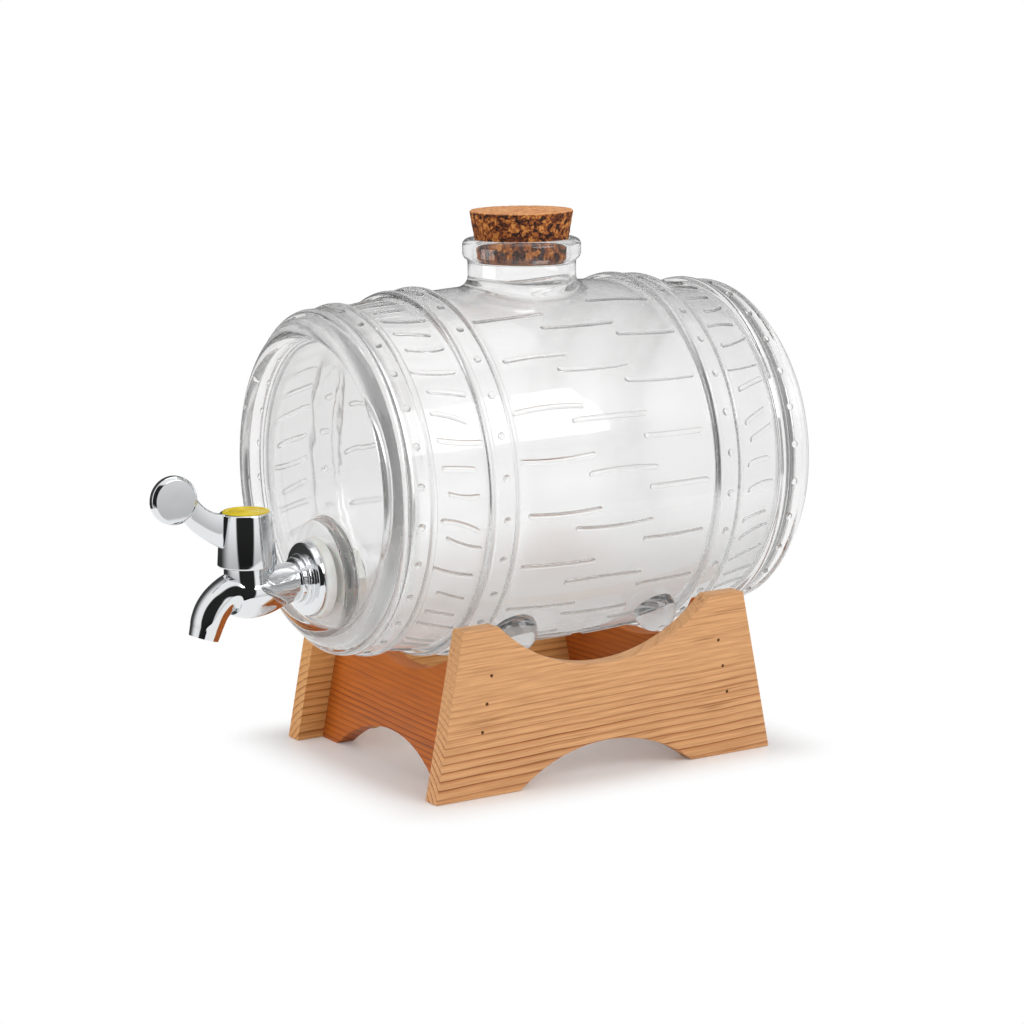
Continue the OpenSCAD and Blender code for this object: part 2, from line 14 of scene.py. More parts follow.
import bmesh
import bpy
import numpy as np
from mathutils import Matrix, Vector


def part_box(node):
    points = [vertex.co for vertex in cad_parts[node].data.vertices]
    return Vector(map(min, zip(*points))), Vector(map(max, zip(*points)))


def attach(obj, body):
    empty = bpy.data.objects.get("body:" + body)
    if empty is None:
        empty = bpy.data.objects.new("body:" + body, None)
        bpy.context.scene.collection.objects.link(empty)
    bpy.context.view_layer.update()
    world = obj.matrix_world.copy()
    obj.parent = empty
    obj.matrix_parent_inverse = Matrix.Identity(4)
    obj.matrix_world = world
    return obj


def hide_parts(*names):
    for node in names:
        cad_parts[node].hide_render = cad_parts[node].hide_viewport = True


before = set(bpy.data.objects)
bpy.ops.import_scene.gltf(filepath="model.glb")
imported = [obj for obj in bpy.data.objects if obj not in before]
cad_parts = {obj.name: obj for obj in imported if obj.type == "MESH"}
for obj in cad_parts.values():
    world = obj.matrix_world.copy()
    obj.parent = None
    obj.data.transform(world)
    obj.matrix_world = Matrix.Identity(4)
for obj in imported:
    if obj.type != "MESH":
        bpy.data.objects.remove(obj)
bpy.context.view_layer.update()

LOG = logging.getLogger("dispenser")
MM = 0.001
X_AXIS = np.array([1.0, 0.0, 0.0])
Y_AXIS = np.array([0.0, 1.0, 0.0])
Z_AXIS = np.array([0.0, 0.0, 1.0])
RANGE = ("From Min", "From Max", "To Min", "To Max")

Piece = bpy.types.Object
Tree = bpy.types.NodeTree
Socket = bpy.types.NodeSocket


class Join(Enum):
    """How one closed skin is combined with another."""

    ADD = "UNION"
    CUT = "DIFFERENCE"


class Grain(Enum):
    """The way that a board's fibres run."""

    ALONG_Y = 0.0
    ALONG_X = 90.0


def low(node: str) -> np.ndarray:
    """Lowest corner of a CAD node, in mm."""
    return np.array(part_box(node)[0]) / MM


def high(node: str) -> np.ndarray:
    """Highest corner of a CAD node, in mm."""
    return np.array(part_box(node)[1]) / MM


def middle(node: str) -> np.ndarray:
    """Centre of a CAD node's box, in mm."""
    return (low(node) + high(node)) / 2


# Outlines and surfaces


def round_angles(count: int) -> np.ndarray:
    """Angles evenly spaced round a circle, in radians."""
    return np.linspace(0.0, 2 * math.pi, count, endpoint=False)


def unit(vectors: np.ndarray) -> np.ndarray:
    """Vectors along the last axis, brought to length 1."""
    return vectors / np.linalg.norm(vectors, axis=-1, keepdims=True)


def arc(centre: Sequence[float], radius: float, start: float, end: float, steps: int) -> np.ndarray:
    """Points of a circular arc.

    Args:
        centre: the arc's centre in the outline's plane.
        radius: its radius.
        start: angle of the first point in degrees, counted from the first axis towards the second.
        end: angle of the last point.
        steps: number of chords.

    Returns:
        Points of shape (steps + 1, 2).
    """
    turn = np.radians(np.linspace(start, end, steps + 1))
    return np.stack([centre[0] + radius * np.cos(turn), centre[1] + radius * np.sin(turn)], axis=-1)


def rounded(corners: Sequence[Sequence[float]], looped: bool = False, steps: int = 4) -> np.ndarray:
    """An outline with rounded corners.

    Each corner is replaced by the arc that touches both its sides: it starts and ends at
    radius / tan(half the corner's angle) from the corner, and its centre lies on the corner's bisector.

    Args:
        corners: corners as (first, second, radius). A radius of 0 keeps the corner sharp.
        looped: whether the outline closes on itself; the ends of an open one stay sharp.
        steps: number of chords in an arc.

    Returns:
        Points of shape (n, 2).
    """
    spots = np.array([corner[:2] for corner in corners], dtype=float)
    share = np.linspace(0.0, 1.0, steps + 1)[:, None]
    out = []
    for index, (_, _, radius) in enumerate(corners):
        spot = spots[index]
        at_end = not looped and index in (0, len(corners) - 1)
        if radius == 0 or at_end:
            out.append(spot[None])
            continue
        back = unit(spots[index - 1] - spot)
        ahead = unit(spots[(index + 1) % len(spots)] - spot)
        half = math.acos(np.clip(back @ ahead, -1.0, 1.0)) / 2
        centre = spot + unit(back + ahead) * radius / math.sin(half)
        first = spot + back * radius / math.tan(half) - centre
        last = spot + ahead * radius / math.tan(half) - centre
        span = math.pi - 2 * half
        spokes = (np.sin((1 - share) * span) * first + np.sin(share * span) * last) / math.sin(span)
        out.append(centre + spokes)
    return np.concatenate(out)


def smooth_path(stations: Sequence[Sequence[float]], steps: int) -> np.ndarray:
    """A smooth curve through stations: between two of them a cubic whose slopes come from their neighbours.

    Args:
        stations: points with any number of values each, such as two places and a radius.
        steps: number of points from one station to the next.

    Returns:
        Points of shape ((stations - 1) * steps + 1, values).
    """
    knots = np.array(stations, dtype=float)
    slopes = np.gradient(knots, axis=0)
    share = np.linspace(0.0, 1.0, steps, endpoint=False)[None, :, None]
    start, end = knots[:-1, None], knots[1:, None]
    leave, arrive = slopes[:-1, None], slopes[1:, None]
    cubic = (
        (2 * share**3 - 3 * share**2 + 1) * start
        + (share**3 - 2 * share**2 + share) * leave
        + (3 * share**2 - 2 * share**3) * end
        + (share**3 - share**2) * arrive
    )
    return np.concatenate([cubic.reshape(-1, knots.shape[1]), knots[-1:]])


def revolve(outline: np.ndarray, centre: np.ndarray, axis: np.ndarray, around: int) -> np.ndarray:
    """Rings of a turned shape: centre + along * axis + radius * (cos t * side + sin t * up) for angles t.

    Args:
        outline: points as (radius, along).
        centre: the point where along is 0.
        axis: unit vector along which the outline runs.
        around: number of points in a ring.

    Returns:
        Points of shape (outline points, around, 3).
    """
    helper = X_AXIS if abs(axis[0]) < 0.5 else Z_AXIS
    side = unit(np.cross(axis, helper))
    up = np.cross(axis, side)
    turn = round_angles(around)[:, None]
    circle = np.cos(turn) * side + np.sin(turn) * up
    return centre + outline[:, 1, None, None] * axis + outline[:, 0, None, None] * circle


def sweep(path: np.ndarray, radius: np.ndarray, around: int) -> np.ndarray:
    """Rings of a round rod along a path in a Y-Z plane: path + radius * (cos t * X + sin t * normal).

    Args:
        path: points of shape (n, 3) that keep one X.
        radius: radius at each point.
        around: number of points in a ring.

    Returns:
        Points of shape (n, around, 3).
    """
    normal = np.cross(X_AXIS, unit(np.gradient(path, axis=0)))
    turn = round_angles(around)[None, :, None]
    circle = np.cos(turn) * X_AXIS + np.sin(turn) * normal[:, None]
    return path[:, None] + radius[:, None, None] * circle


def ripple(points: np.ndarray, wavelength: float, waves: int, seed: int) -> np.ndarray:
    """Smooth random relief: a sum of cosines with random directions and phases and like wavelengths.

    Args:
        points: places of shape (..., 3), in mm.
        wavelength: mean wavelength in mm.
        waves: number of cosines.
        seed: seed of the draws.

    Returns:
        Heights of shape (...), about -2 to 2.
    """
    draw = np.random.default_rng(seed)
    direction = unit(draw.normal(size=(waves, 3)))
    direction *= 2 * math.pi / (wavelength * draw.uniform(0.7, 1.5, (waves, 1)))
    phase = draw.uniform(0.0, 2 * math.pi, waves)
    return np.cos(points @ direction.T + phase).sum(axis=-1) / math.sqrt(waves / 2)


def skin(name: str, rings: np.ndarray, looped: bool = False) -> Piece:
    """A closed skin over a stack of rings, or several at once.

    Neighbouring rings are joined by quads. An open stack is closed at both ends by a fan round the end ring's
    centre, a looped one by joining its last ring to its first.

    Args:
        name: name of the piece.
        rings: points of shape (rings, around, 3) or (stacks, rings, around, 3), in mm.
        looped: whether each stack closes on itself.

    Returns:
        The piece, at the origin, with its faces pointing outwards.
    """
    stacks = rings if rings.ndim == 4 else rings[None]
    count, rows, around, _ = stacks.shape
    index = np.arange(count * rows * around).reshape(count, rows, around)
    lower = index if looped else index[:, :-1]
    upper = np.roll(index, -1, axis=1) if looped else index[:, 1:]
    quads = np.stack([lower, np.roll(lower, -1, axis=2), np.roll(upper, -1, axis=2), upper], axis=-1)
    points = stacks.reshape(-1, 3)
    faces = quads.reshape(-1, 4).tolist()
    if not looped:
        ends = stacks[:, [0, -1]]
        poles = len(points) + np.arange(2 * count).reshape(count, 2, 1)
        pole = np.broadcast_to(poles, ends.shape[:3])
        edge = index[:, [0, -1]]
        points = np.concatenate([points, ends.mean(axis=2).reshape(-1, 3)])
        faces += np.stack([edge, np.roll(edge, -1, axis=2), pole], axis=-1).reshape(-1, 3).tolist()
    mesh = bpy.data.meshes.new(name)
    mesh.from_pydata((points * MM).tolist(), [], faces)
    shell = bmesh.new()
    shell.from_mesh(mesh)
    bmesh.ops.recalc_face_normals(shell, faces=shell.faces)
    shell.to_mesh(mesh)
    shell.free()
    piece = bpy.data.objects.new(name, mesh)
    bpy.context.scene.collection.objects.link(piece)
    return piece


def turned(
    name: str,
    outline: Sequence[Sequence[float]],
    centre: Sequence[float],
    axis: np.ndarray,
    around: int,
    looped: bool = False,
) -> Piece:
    """A turned piece. See revolve and skin for Args and Returns."""
    return skin(name, revolve(np.array(outline), np.array(centre), axis, around), looped)


def apply_modifiers(piece: Piece) -> None:
    """Replaces a piece's mesh by the one its modifiers give, and removes them.

    Args:
        piece: the piece.
    """
    shaped = piece.evaluated_get(bpy.context.evaluated_depsgraph_get())
    plain = piece.data
    piece.data = bpy.data.meshes.new_from_object(shaped)
    piece.modifiers.clear()
    bpy.data.meshes.remove(plain)


def combine(piece: Piece, join: Join, *tools: Piece) -> None:
    """Adds tools to a piece or cuts them from it, one after the other, and removes them.

    Args:
        piece: closed skin that is changed.
        join: whether the tools are added or cut.
        tools: closed skins.
    """
    for tool in tools:
        step = piece.modifiers.new(tool.name, "BOOLEAN")
        step.operation = join.value
        step.solver = "MANIFOLD"
        step.object = tool
        apply_modifiers(piece)
        bpy.data.meshes.remove(tool.data)


def ease_edges(piece: Piece, width: float, segments: int = 3) -> None:
    """Rounds a piece's sharp edges.

    Args:
        piece: the piece.
        width: width of the rounding in mm.
        segments: number of faces across it.
    """
    bevel = piece.modifiers.new("eased edges", "BEVEL")
    bevel.width = width * MM
    bevel.segments = segments
    bevel.limit_method = "ANGLE"
    bevel.angle_limit = math.radians(35)
    apply_modifiers(piece)


def shade(piece: Piece, crease: float = 38.0) -> None:
    """Shades a piece smooth, with edges above an angle in degrees left sharp."""
    piece.data.shade_smooth()
    piece.data.set_sharp_from_angle(angle=math.radians(crease))


def settle(piece: Piece, body: str, finish: bpy.types.Material, node: str) -> None:
    """Puts a finished piece on its body, in place of its CAD node.

    Args:
        piece: the finished piece.
        body: CAD body that it moves with.
        finish: its material.
        node: CAD node that it stands for.
    """
    piece.data.materials.clear()
    piece.data.materials.append(finish)
    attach(piece, body)
    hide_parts(node)
    LOG.info("%s: %d faces on %s", piece.name, len(piece.data.polygons), body)


# Finishes


def linear(code: str) -> tuple[float, ...]:
    """Linear colour, with full alpha, of an sRGB hex value such as "D9A878"."""
    shares = (int(code[at : at + 2], 16) / 255 for at in (0, 2, 4))
    return (*(s / 12.92 if s <= 0.04045 else ((s + 0.055) / 1.055) ** 2.4 for s in shares), 1.0)


def per_mm(size: float) -> float:
    """Texture scale in Object coordinates at which a pattern's cell is that many mm wide."""
    return 1 / (size * MM)


def add_node(
    tree: Tree, kind: str, settings: dict | None = None, links: dict | None = None, output: int | str = 0
) -> Socket | None:
    """Adds a node with its settings and links.

    Args:
        tree: the node tree.
        kind: the node's type name without "ShaderNode".
        settings: attributes in small letters, sockets by name or number, and "stops" of a colour ramp as
            (place, hex colour) pairs.
        links: sockets by name or number, with the output that feeds each.
        output: name or number of the output that is wanted.

    Returns:
        That output, or None from a node that has none.
    """
    node = tree.nodes.new(f"ShaderNode{kind}")
    for key, value in (settings or {}).items():
        if key == "stops":
            stops = node.color_ramp.elements
            for number, (place, code) in enumerate(value):
                stop = stops[number] if number < 2 else stops.new(place)
                stop.position = place
                stop.color = linear(code)
        elif isinstance(key, int) or key[0].isupper():
            node.inputs[key].default_value = value
        else:
            setattr(node, key, value)
    for key, source in (links or {}).items():
        tree.links.new(source, node.inputs[key])
    return node.outputs[output] if node.outputs else None


def mask(tree: Tree, operation: str, slope: str, steps: Sequence[Sequence]) -> Socket:
    """A share worked out from several values, each of which turns from one share to another over a range.

    Args:
        tree: the node tree.
        operation: how the shares are joined, such as "MULTIPLY".
        slope: how they turn: "LINEAR" or "SMOOTHSTEP".
        steps: each as (value, start of the range, its end, share at the start, share at the end).

    Returns:
        The joined share.
    """
    joined = None
    for value, *span in steps:
        settings = {"interpolation_type": slope, **dict(zip(RANGE, span))}
        share = add_node(tree, "MapRange", settings, {"Value": value})
        if joined is not None:
            share = add_node(tree, "Math", {"operation": operation}, {0: joined, 1: share})
        joined = share
    return joined


@dataclass(frozen=True)
class Finish:
    """A surface finish. It makes a material, whose nodes its own class fills in."""

    name: str

    def material(self) -> bpy.types.Material:
        """Makes the material: its surface and, in a clear piece, its inside.

        Returns:
            The material.
        """
        made = bpy.data.materials.new(self.name)
        made.use_nodes = True
        tree = made.node_tree
        tree.nodes.clear()
        place = add_node(tree, "TexCoord", output="Object")
        links = {"Surface": self.fill(tree, place), "Volume": self.body(tree)}
        add_node(tree, "OutputMaterial", links={key: end for key, end in links.items() if end is not None})
        return made

    def fill(self, tree: Tree, place: Socket) -> Socket:
        """Adds the nodes of the surface.

        Args:
            tree: the material's node tree.
            place: Object coordinates.

        Returns:
            The output that is the surface.
        """
        raise NotImplementedError

    def body(self, tree: Tree) -> Socket | None:
        """The output that is the inside of a clear piece, or None."""
        return None


@dataclass(frozen=True)
class PressedGlass(Finish):
    """Soda-lime glass, pressed and fire polished: bright, slowly waved, with an inner wall that blurs."""

    axis_z: float = 0.0
    belly_r: float = 87.0
    arc_r: float = 660.0
    inner_s: float = 100.0
    tint: str = "FEFEFE"
    soak_per_m: float = 5.6
    wave_mm: float = 13.0
    wave_depth_mm: float = 0.065
    polish: float = 0.03
    drawn: float = 0.2
    drawn_low: float = 3.6

    def fill(self, tree: Tree, place: Socket) -> Socket:
        """Clear glass that lets shadow rays through. See Finish.fill for Args and Returns."""
        axis = (0.0, 0.0, self.axis_z * MM)
        out = add_node(tree, "VectorMath", {"operation": "SUBTRACT", 1: axis}, {0: place})
        along = add_node(tree, "SeparateXYZ", links={0: out}, output="Y")
        rise = add_node(tree, "SeparateXYZ", links={0: out}, output="Z")
        across = add_node(tree, "VectorMath", {"operation": "MULTIPLY", 1: (1.0, 0.0, 1.0)}, {0: out})
        radius = add_node(tree, "VectorMath", {"operation": "LENGTH"}, {0: across}, "Value")
        square = add_node(tree, "Math", {"operation": "MULTIPLY"}, {0: along, 1: along})
        # The radius a point would have at mid length: staves sag by along * along / (2 * their arc's radius)
        sag = {"operation": "MULTIPLY_ADD", 1: 0.5 / (self.arc_r * MM)}
        level = add_node(tree, "Math", sag, {0: square, 2: radius})
        # The inner wall lies below the staves, off the axis and between the heads, and is dullest low down
        belly, end = self.belly_r * MM, self.inner_s * MM
        dull = mask(
            tree,
            "MULTIPLY",
            "LINEAR",
            (
                (level, belly - 3.4 * MM, belly - 2 * MM, self.drawn, 0.0),
                (level, belly - 26 * MM, belly - 18 * MM, 0.0, 1.0),
                (square, end**2, (end + 2 * MM) ** 2, 1.0, 0.0),
                (rise, -0.7 * belly, -0.1 * belly, self.drawn_low, 1.0),
            ),
        )
        rough = add_node(tree, "Math", {"operation": "ADD", 1: self.polish}, {0: dull})
        noise = {"Scale": per_mm(self.wave_mm), "Detail": 1.5, "Roughness": 0.45}
        waves = add_node(tree, "TexNoise", noise, {"Vector": place})
        depth = {"Strength": 1.0, "Distance": self.wave_depth_mm * MM}
        bump = add_node(tree, "Bump", depth, {"Height": waves})
        clear = {"Base Color": linear(self.tint), "IOR": 1.5, "Transmission Weight": 1.0}
        glass = add_node(tree, "BsdfPrincipled", clear, {"Roughness": rough, "Normal": bump})
        shadow = add_node(tree, "LightPath", output="Is Shadow Ray")
        open_way = add_node(tree, "BsdfTransparent", {"Color": linear("F0F2F1")})
        return add_node(tree, "MixShader", links={0: shadow, 1: glass, 2: open_way})

    def body(self, tree: Tree) -> Socket:
        """Grey that only long ways through the glass show, as in its rims and beads."""
        return add_node(tree, "VolumeAbsorption", {"Color": linear("000000"), "Density": self.soak_per_m})


@dataclass(frozen=True)
class OiledPine(Finish):
    """Softwood, planed, sanded and oiled: pale early wood, reddish late wood, fine fibres and flecks."""

    grain: Grain = Grain.ALONG_Y
    pith: tuple[float, float, float] = (0.0, 0.0, 0.0)
    lean: tuple[float, float] = (0.0, 0.0)
    ring_mm: float = 3.0
    pale: str = "E3AC77"
    mid: str = "D4935A"
    dark: str = "8C4818"

    def fill(self, tree: Tree, place: Socket) -> Socket:
        """Growth rings round a pith that lies beside the board. See Finish.fill for Args and Returns."""
        board = {
            "vector_type": "TEXTURE",
            "Location": tuple(value * MM for value in self.pith),
            "Rotation": tuple(math.radians(angle) for angle in (*self.lean, self.grain.value)),
        }
        on_board = add_node(tree, "Mapping", board, {"Vector": place})
        # A saw-tooth wave of rings; its period in Object coordinates is 2 pi / (20 * scale)
        saw = {
            "wave_type": "RINGS",
            "rings_direction": "Y",
            "wave_profile": "SAW",
            "Scale": 2 * math.pi / (20 * self.ring_mm * MM),
            "Distortion": 1.5,
            "Detail": 2.0,
            "Detail Scale": 0.22,
            "Detail Roughness": 0.45,
        }
        rings = add_node(tree, "TexWave", saw, {"Vector": on_board}, "Fac")
        stops = ((0.0, self.pale), (1.0, self.dark), (0.5, self.pale), (0.78, self.mid), (0.93, self.dark))
        late_wood = add_node(tree, "ValToRGB", {"stops": stops}, {0: rings})
        # Fibres are drawn 0.5 mm wide, coarser than real ones, so that they show in the render
        drawn_out = {"operation": "MULTIPLY", 1: (1.0, 0.035, 1.0)}
        along = add_node(tree, "VectorMath", drawn_out, {0: on_board})
        noises = (
            {"Scale": per_mm(0.9), "Detail": 3.0, "Roughness": 0.6},
            {"Scale": per_mm(4.5), "Detail": 2.0, "Roughness": 0.5},
            {"Scale": per_mm(1.6), "Detail": 1.0, "Roughness": 0.4},
        )
        fibres, patches, flecks = (add_node(tree, "TexNoise", noise, {"Vector": along}) for noise in noises)
        # Late wood comes in patches, and stronger in each board's lower part, which is cut nearer the pith
        rise = add_node(tree, "SeparateXYZ", links={0: place}, output="Z")
        lines = ((patches, 0.36, 0.62, 0.5, 1.0), (rise, 0.024, 0.05, 1.0, 0.27))
        shown = mask(tree, "MULTIPLY", "LINEAR", lines)
        body = add_node(tree, "Mix", {"data_type": "RGBA", 6: linear(self.pale)}, {0: shown, 7: late_wood}, 2)
        tone = add_node(tree, "ValToRGB", {"stops": ((0.3, "BCA893"), (0.7, "FFFFFF"))}, {0: fibres})
        darken = {"data_type": "RGBA", "blend_type": "MULTIPLY", 0: 0.55}
        streaked = add_node(tree, "Mix", darken, {6: body, 7: tone}, 2)
        specks = add_node(tree, "MapRange", dict(zip(RANGE, (0.67, 0.75, 0.0, 0.6))), {"Value": flecks})
        brown = {"data_type": "RGBA", 7: linear("8A5327")}
        colour = add_node(tree, "Mix", brown, {0: specks, 6: streaked}, 2)
        sheen = add_node(tree, "MapRange", {"To Min": 0.42, "To Max": 0.62}, {"Value": fibres})
        bump = add_node(tree, "Bump", {"Strength": 0.6, "Distance": 0.12 * MM}, {"Height": fibres})
        links = {"Base Color": colour, "Roughness": sheen, "Normal": bump}
        return add_node(tree, "BsdfPrincipled", {"IOR": 1.45}, links)


@dataclass(frozen=True)
class AgglomeratedCork(Finish):
    """Cork granules pressed with binder and ground to a cone: light and dark grains with open seams."""

    top_mm: float = 0.0
    grain_mm: float = 2.3

    def fill(self, tree: Tree, place: Socket) -> Socket:
        """Two sizes of granules, with a paler top as painted light. See Finish.fill for Args and Returns."""
        grains, crumbs = (
            add_node(tree, "TexVoronoi", {"Scale": per_mm(size)}, {"Vector": place}, "Color")
            for size in (self.grain_mm, self.grain_mm * 0.45)
        )
        mixed = add_node(tree, "Mix", {"data_type": "RGBA", 0: 0.45}, {6: grains, 7: crumbs}, 2)
        tone = add_node(tree, "SeparateColor", links={0: mixed})
        # The second ramp, for the top face, is paler than the side's, which is painted light from above, and
        # of lower contrast for the top's smoother face
        side, top = (
            add_node(tree, "ValToRGB", {"stops": stops}, {0: tone})
            for stops in (
                ((0.2, "210A02"), (0.85, "D08A42"), (0.38, "572507"), (0.52, "874211"), (0.68, "AC6326")),
                ((0.2, "BC7846"), (0.8, "E6AA72"), (0.5, "D9965F")),
            )
        )
        # Share of the top face, which takes the painted light from above
        rise = add_node(tree, "SeparateXYZ", links={0: place}, output="Z")
        lid = {"From Min": (self.top_mm - 0.9) * MM, "From Max": (self.top_mm - 0.25) * MM}
        upper = add_node(tree, "MapRange", lid, {"Value": rise})
        colour = add_node(tree, "Mix", {"data_type": "RGBA"}, {0: upper, 6: side, 7: top}, 2)
        edges = {"feature": "DISTANCE_TO_EDGE", "Scale": per_mm(self.grain_mm)}
        seams = add_node(tree, "TexVoronoi", edges, {"Vector": place}, "Distance")
        bump = add_node(tree, "Bump", {"Strength": 0.8, "Distance": 0.5 * MM}, {"Height": seams})
        return add_node(tree, "BsdfPrincipled", {"Roughness": 0.8}, {"Base Color": colour, "Normal": bump})


@dataclass(frozen=True)
class BareMetal(Finish):
    """Bare metal with an uneven polish: its roughness changes from mark to mark."""

    tone: str = "C0C0C0"
    mark_mm: float = 1.0
    smooth: float = 0.1
    dull: float = 0.2

    def fill(self, tree: Tree, place: Socket) -> Socket:
        """Mirror metal. See Finish.fill for Args and Returns."""
        marks = add_node(tree, "TexNoise", {"Scale": per_mm(self.mark_mm), "Detail": 2.0}, {"Vector": place})
        rough = add_node(tree, "MapRange", {"To Min": self.smooth, "To Max": self.dull}, {"Value": marks})
        metal = {"Base Color": linear(self.tone), "Metallic": 1.0}
        return add_node(tree, "BsdfPrincipled", metal, {"Roughness": rough})


@dataclass(frozen=True)
class ChromePlate(BareMetal):
    """Bright chrome on a polished casting: a cool mirror with a slightly uneven polish."""

    tone: str = "E4E6E8"
    mark_mm: float = 6.0
    smooth: float = 0.02
    dull: float = 0.09


@dataclass(frozen=True)
class DrawnSteel(BareMetal):
    """Bright steel wire, drawn and cropped: a grey metal with fine drawing marks."""

    tone: str = "77726B"
    mark_mm: float = 0.3
    smooth: float = 0.3
    dull: float = 0.6


@dataclass(frozen=True)
class Moulded(Finish):
    """A moulded or turned piece of one colour: plastic, silicone or rubber, with a faint grain."""

    pale: str = "F2F1EE"
    dark: str = "E4E3DF"
    roughness: float = 0.4
    grain_mm: float = 1.2
    depth_mm: float = 0.02
    glow: float = 0.0

    def fill(self, tree: Tree, place: Socket) -> Socket:
        """One colour with a slight cloudiness. See Finish.fill for Args and Returns."""
        cloud, grit = (
            add_node(tree, "TexNoise", {"Scale": per_mm(size), "Detail": detail}, {"Vector": place})
            for size, detail in ((9.0, 3.0), (self.grain_mm, 2.0))
        )
        colour = add_node(tree, "ValToRGB", {"stops": ((0.35, self.dark), (0.65, self.pale))}, {0: cloud})
        bump = add_node(tree, "Bump", {"Strength": 0.6, "Distance": self.depth_mm * MM}, {"Height": grit})
        solid = {"Roughness": self.roughness, "Subsurface Weight": self.glow, "Subsurface Scale": 2 * MM}
        return add_node(tree, "BsdfPrincipled", solid, {"Base Color": colour, "Normal": bump})


@dataclass(frozen=True)
class SatinTable(Finish):
    """A white table top in satin lacquer: it holds the object's shadow and fades to white away from it."""

    half_x: float = 0.0
    half_y: float = 0.0
    fade_start: float = -8.0
    fade_end: float = 36.0

    def fill(self, tree: Tree, place: Socket) -> Socket:
        """Lacquer near the object, white in view beyond. See Finish.fill for Args and Returns."""
        # Distance from the stand's footprint: the length of what place has beyond half on each axis
        half, away = (self.half_x * MM, self.half_y * MM, 0.0), place
        for operation, value in (("ABSOLUTE", half), ("SUBTRACT", half), ("MAXIMUM", (0.0, 0.0, 0.0))):
            away = add_node(tree, "VectorMath", {"operation": operation, 1: value}, {0: away})
        away = add_node(tree, "VectorMath", {"operation": "LENGTH"}, {0: away}, "Value")
        span = {"From Min": self.fade_start * MM, "From Max": self.fade_end * MM}
        share = add_node(tree, "MapRange", {"interpolation_type": "SMOOTHSTEP", **span}, {"Value": away})
        path = add_node(tree, "LightPath").node.outputs
        seen = path["Is Camera Ray"]
        for ray in ("Is Glossy Ray", "Is Transmission Ray"):
            seen = add_node(tree, "Math", {"operation": "MAXIMUM"}, {0: seen, 1: path[ray]})
        share = add_node(tree, "Math", {"operation": "MULTIPLY"}, {0: seen, 1: share})
        satin = {"Base Color": linear("F4F4F4"), "Roughness": 0.28, "Specular IOR Level": 0.22}
        lit = add_node(tree, "BsdfPrincipled", satin)
        white = add_node(tree, "Emission", {"Color": linear("FFFFFF"), "Strength": 1.0})
        return add_node(tree, "MixShader", links={0: share, 1: lit, 2: white})


# Sub-assemblies


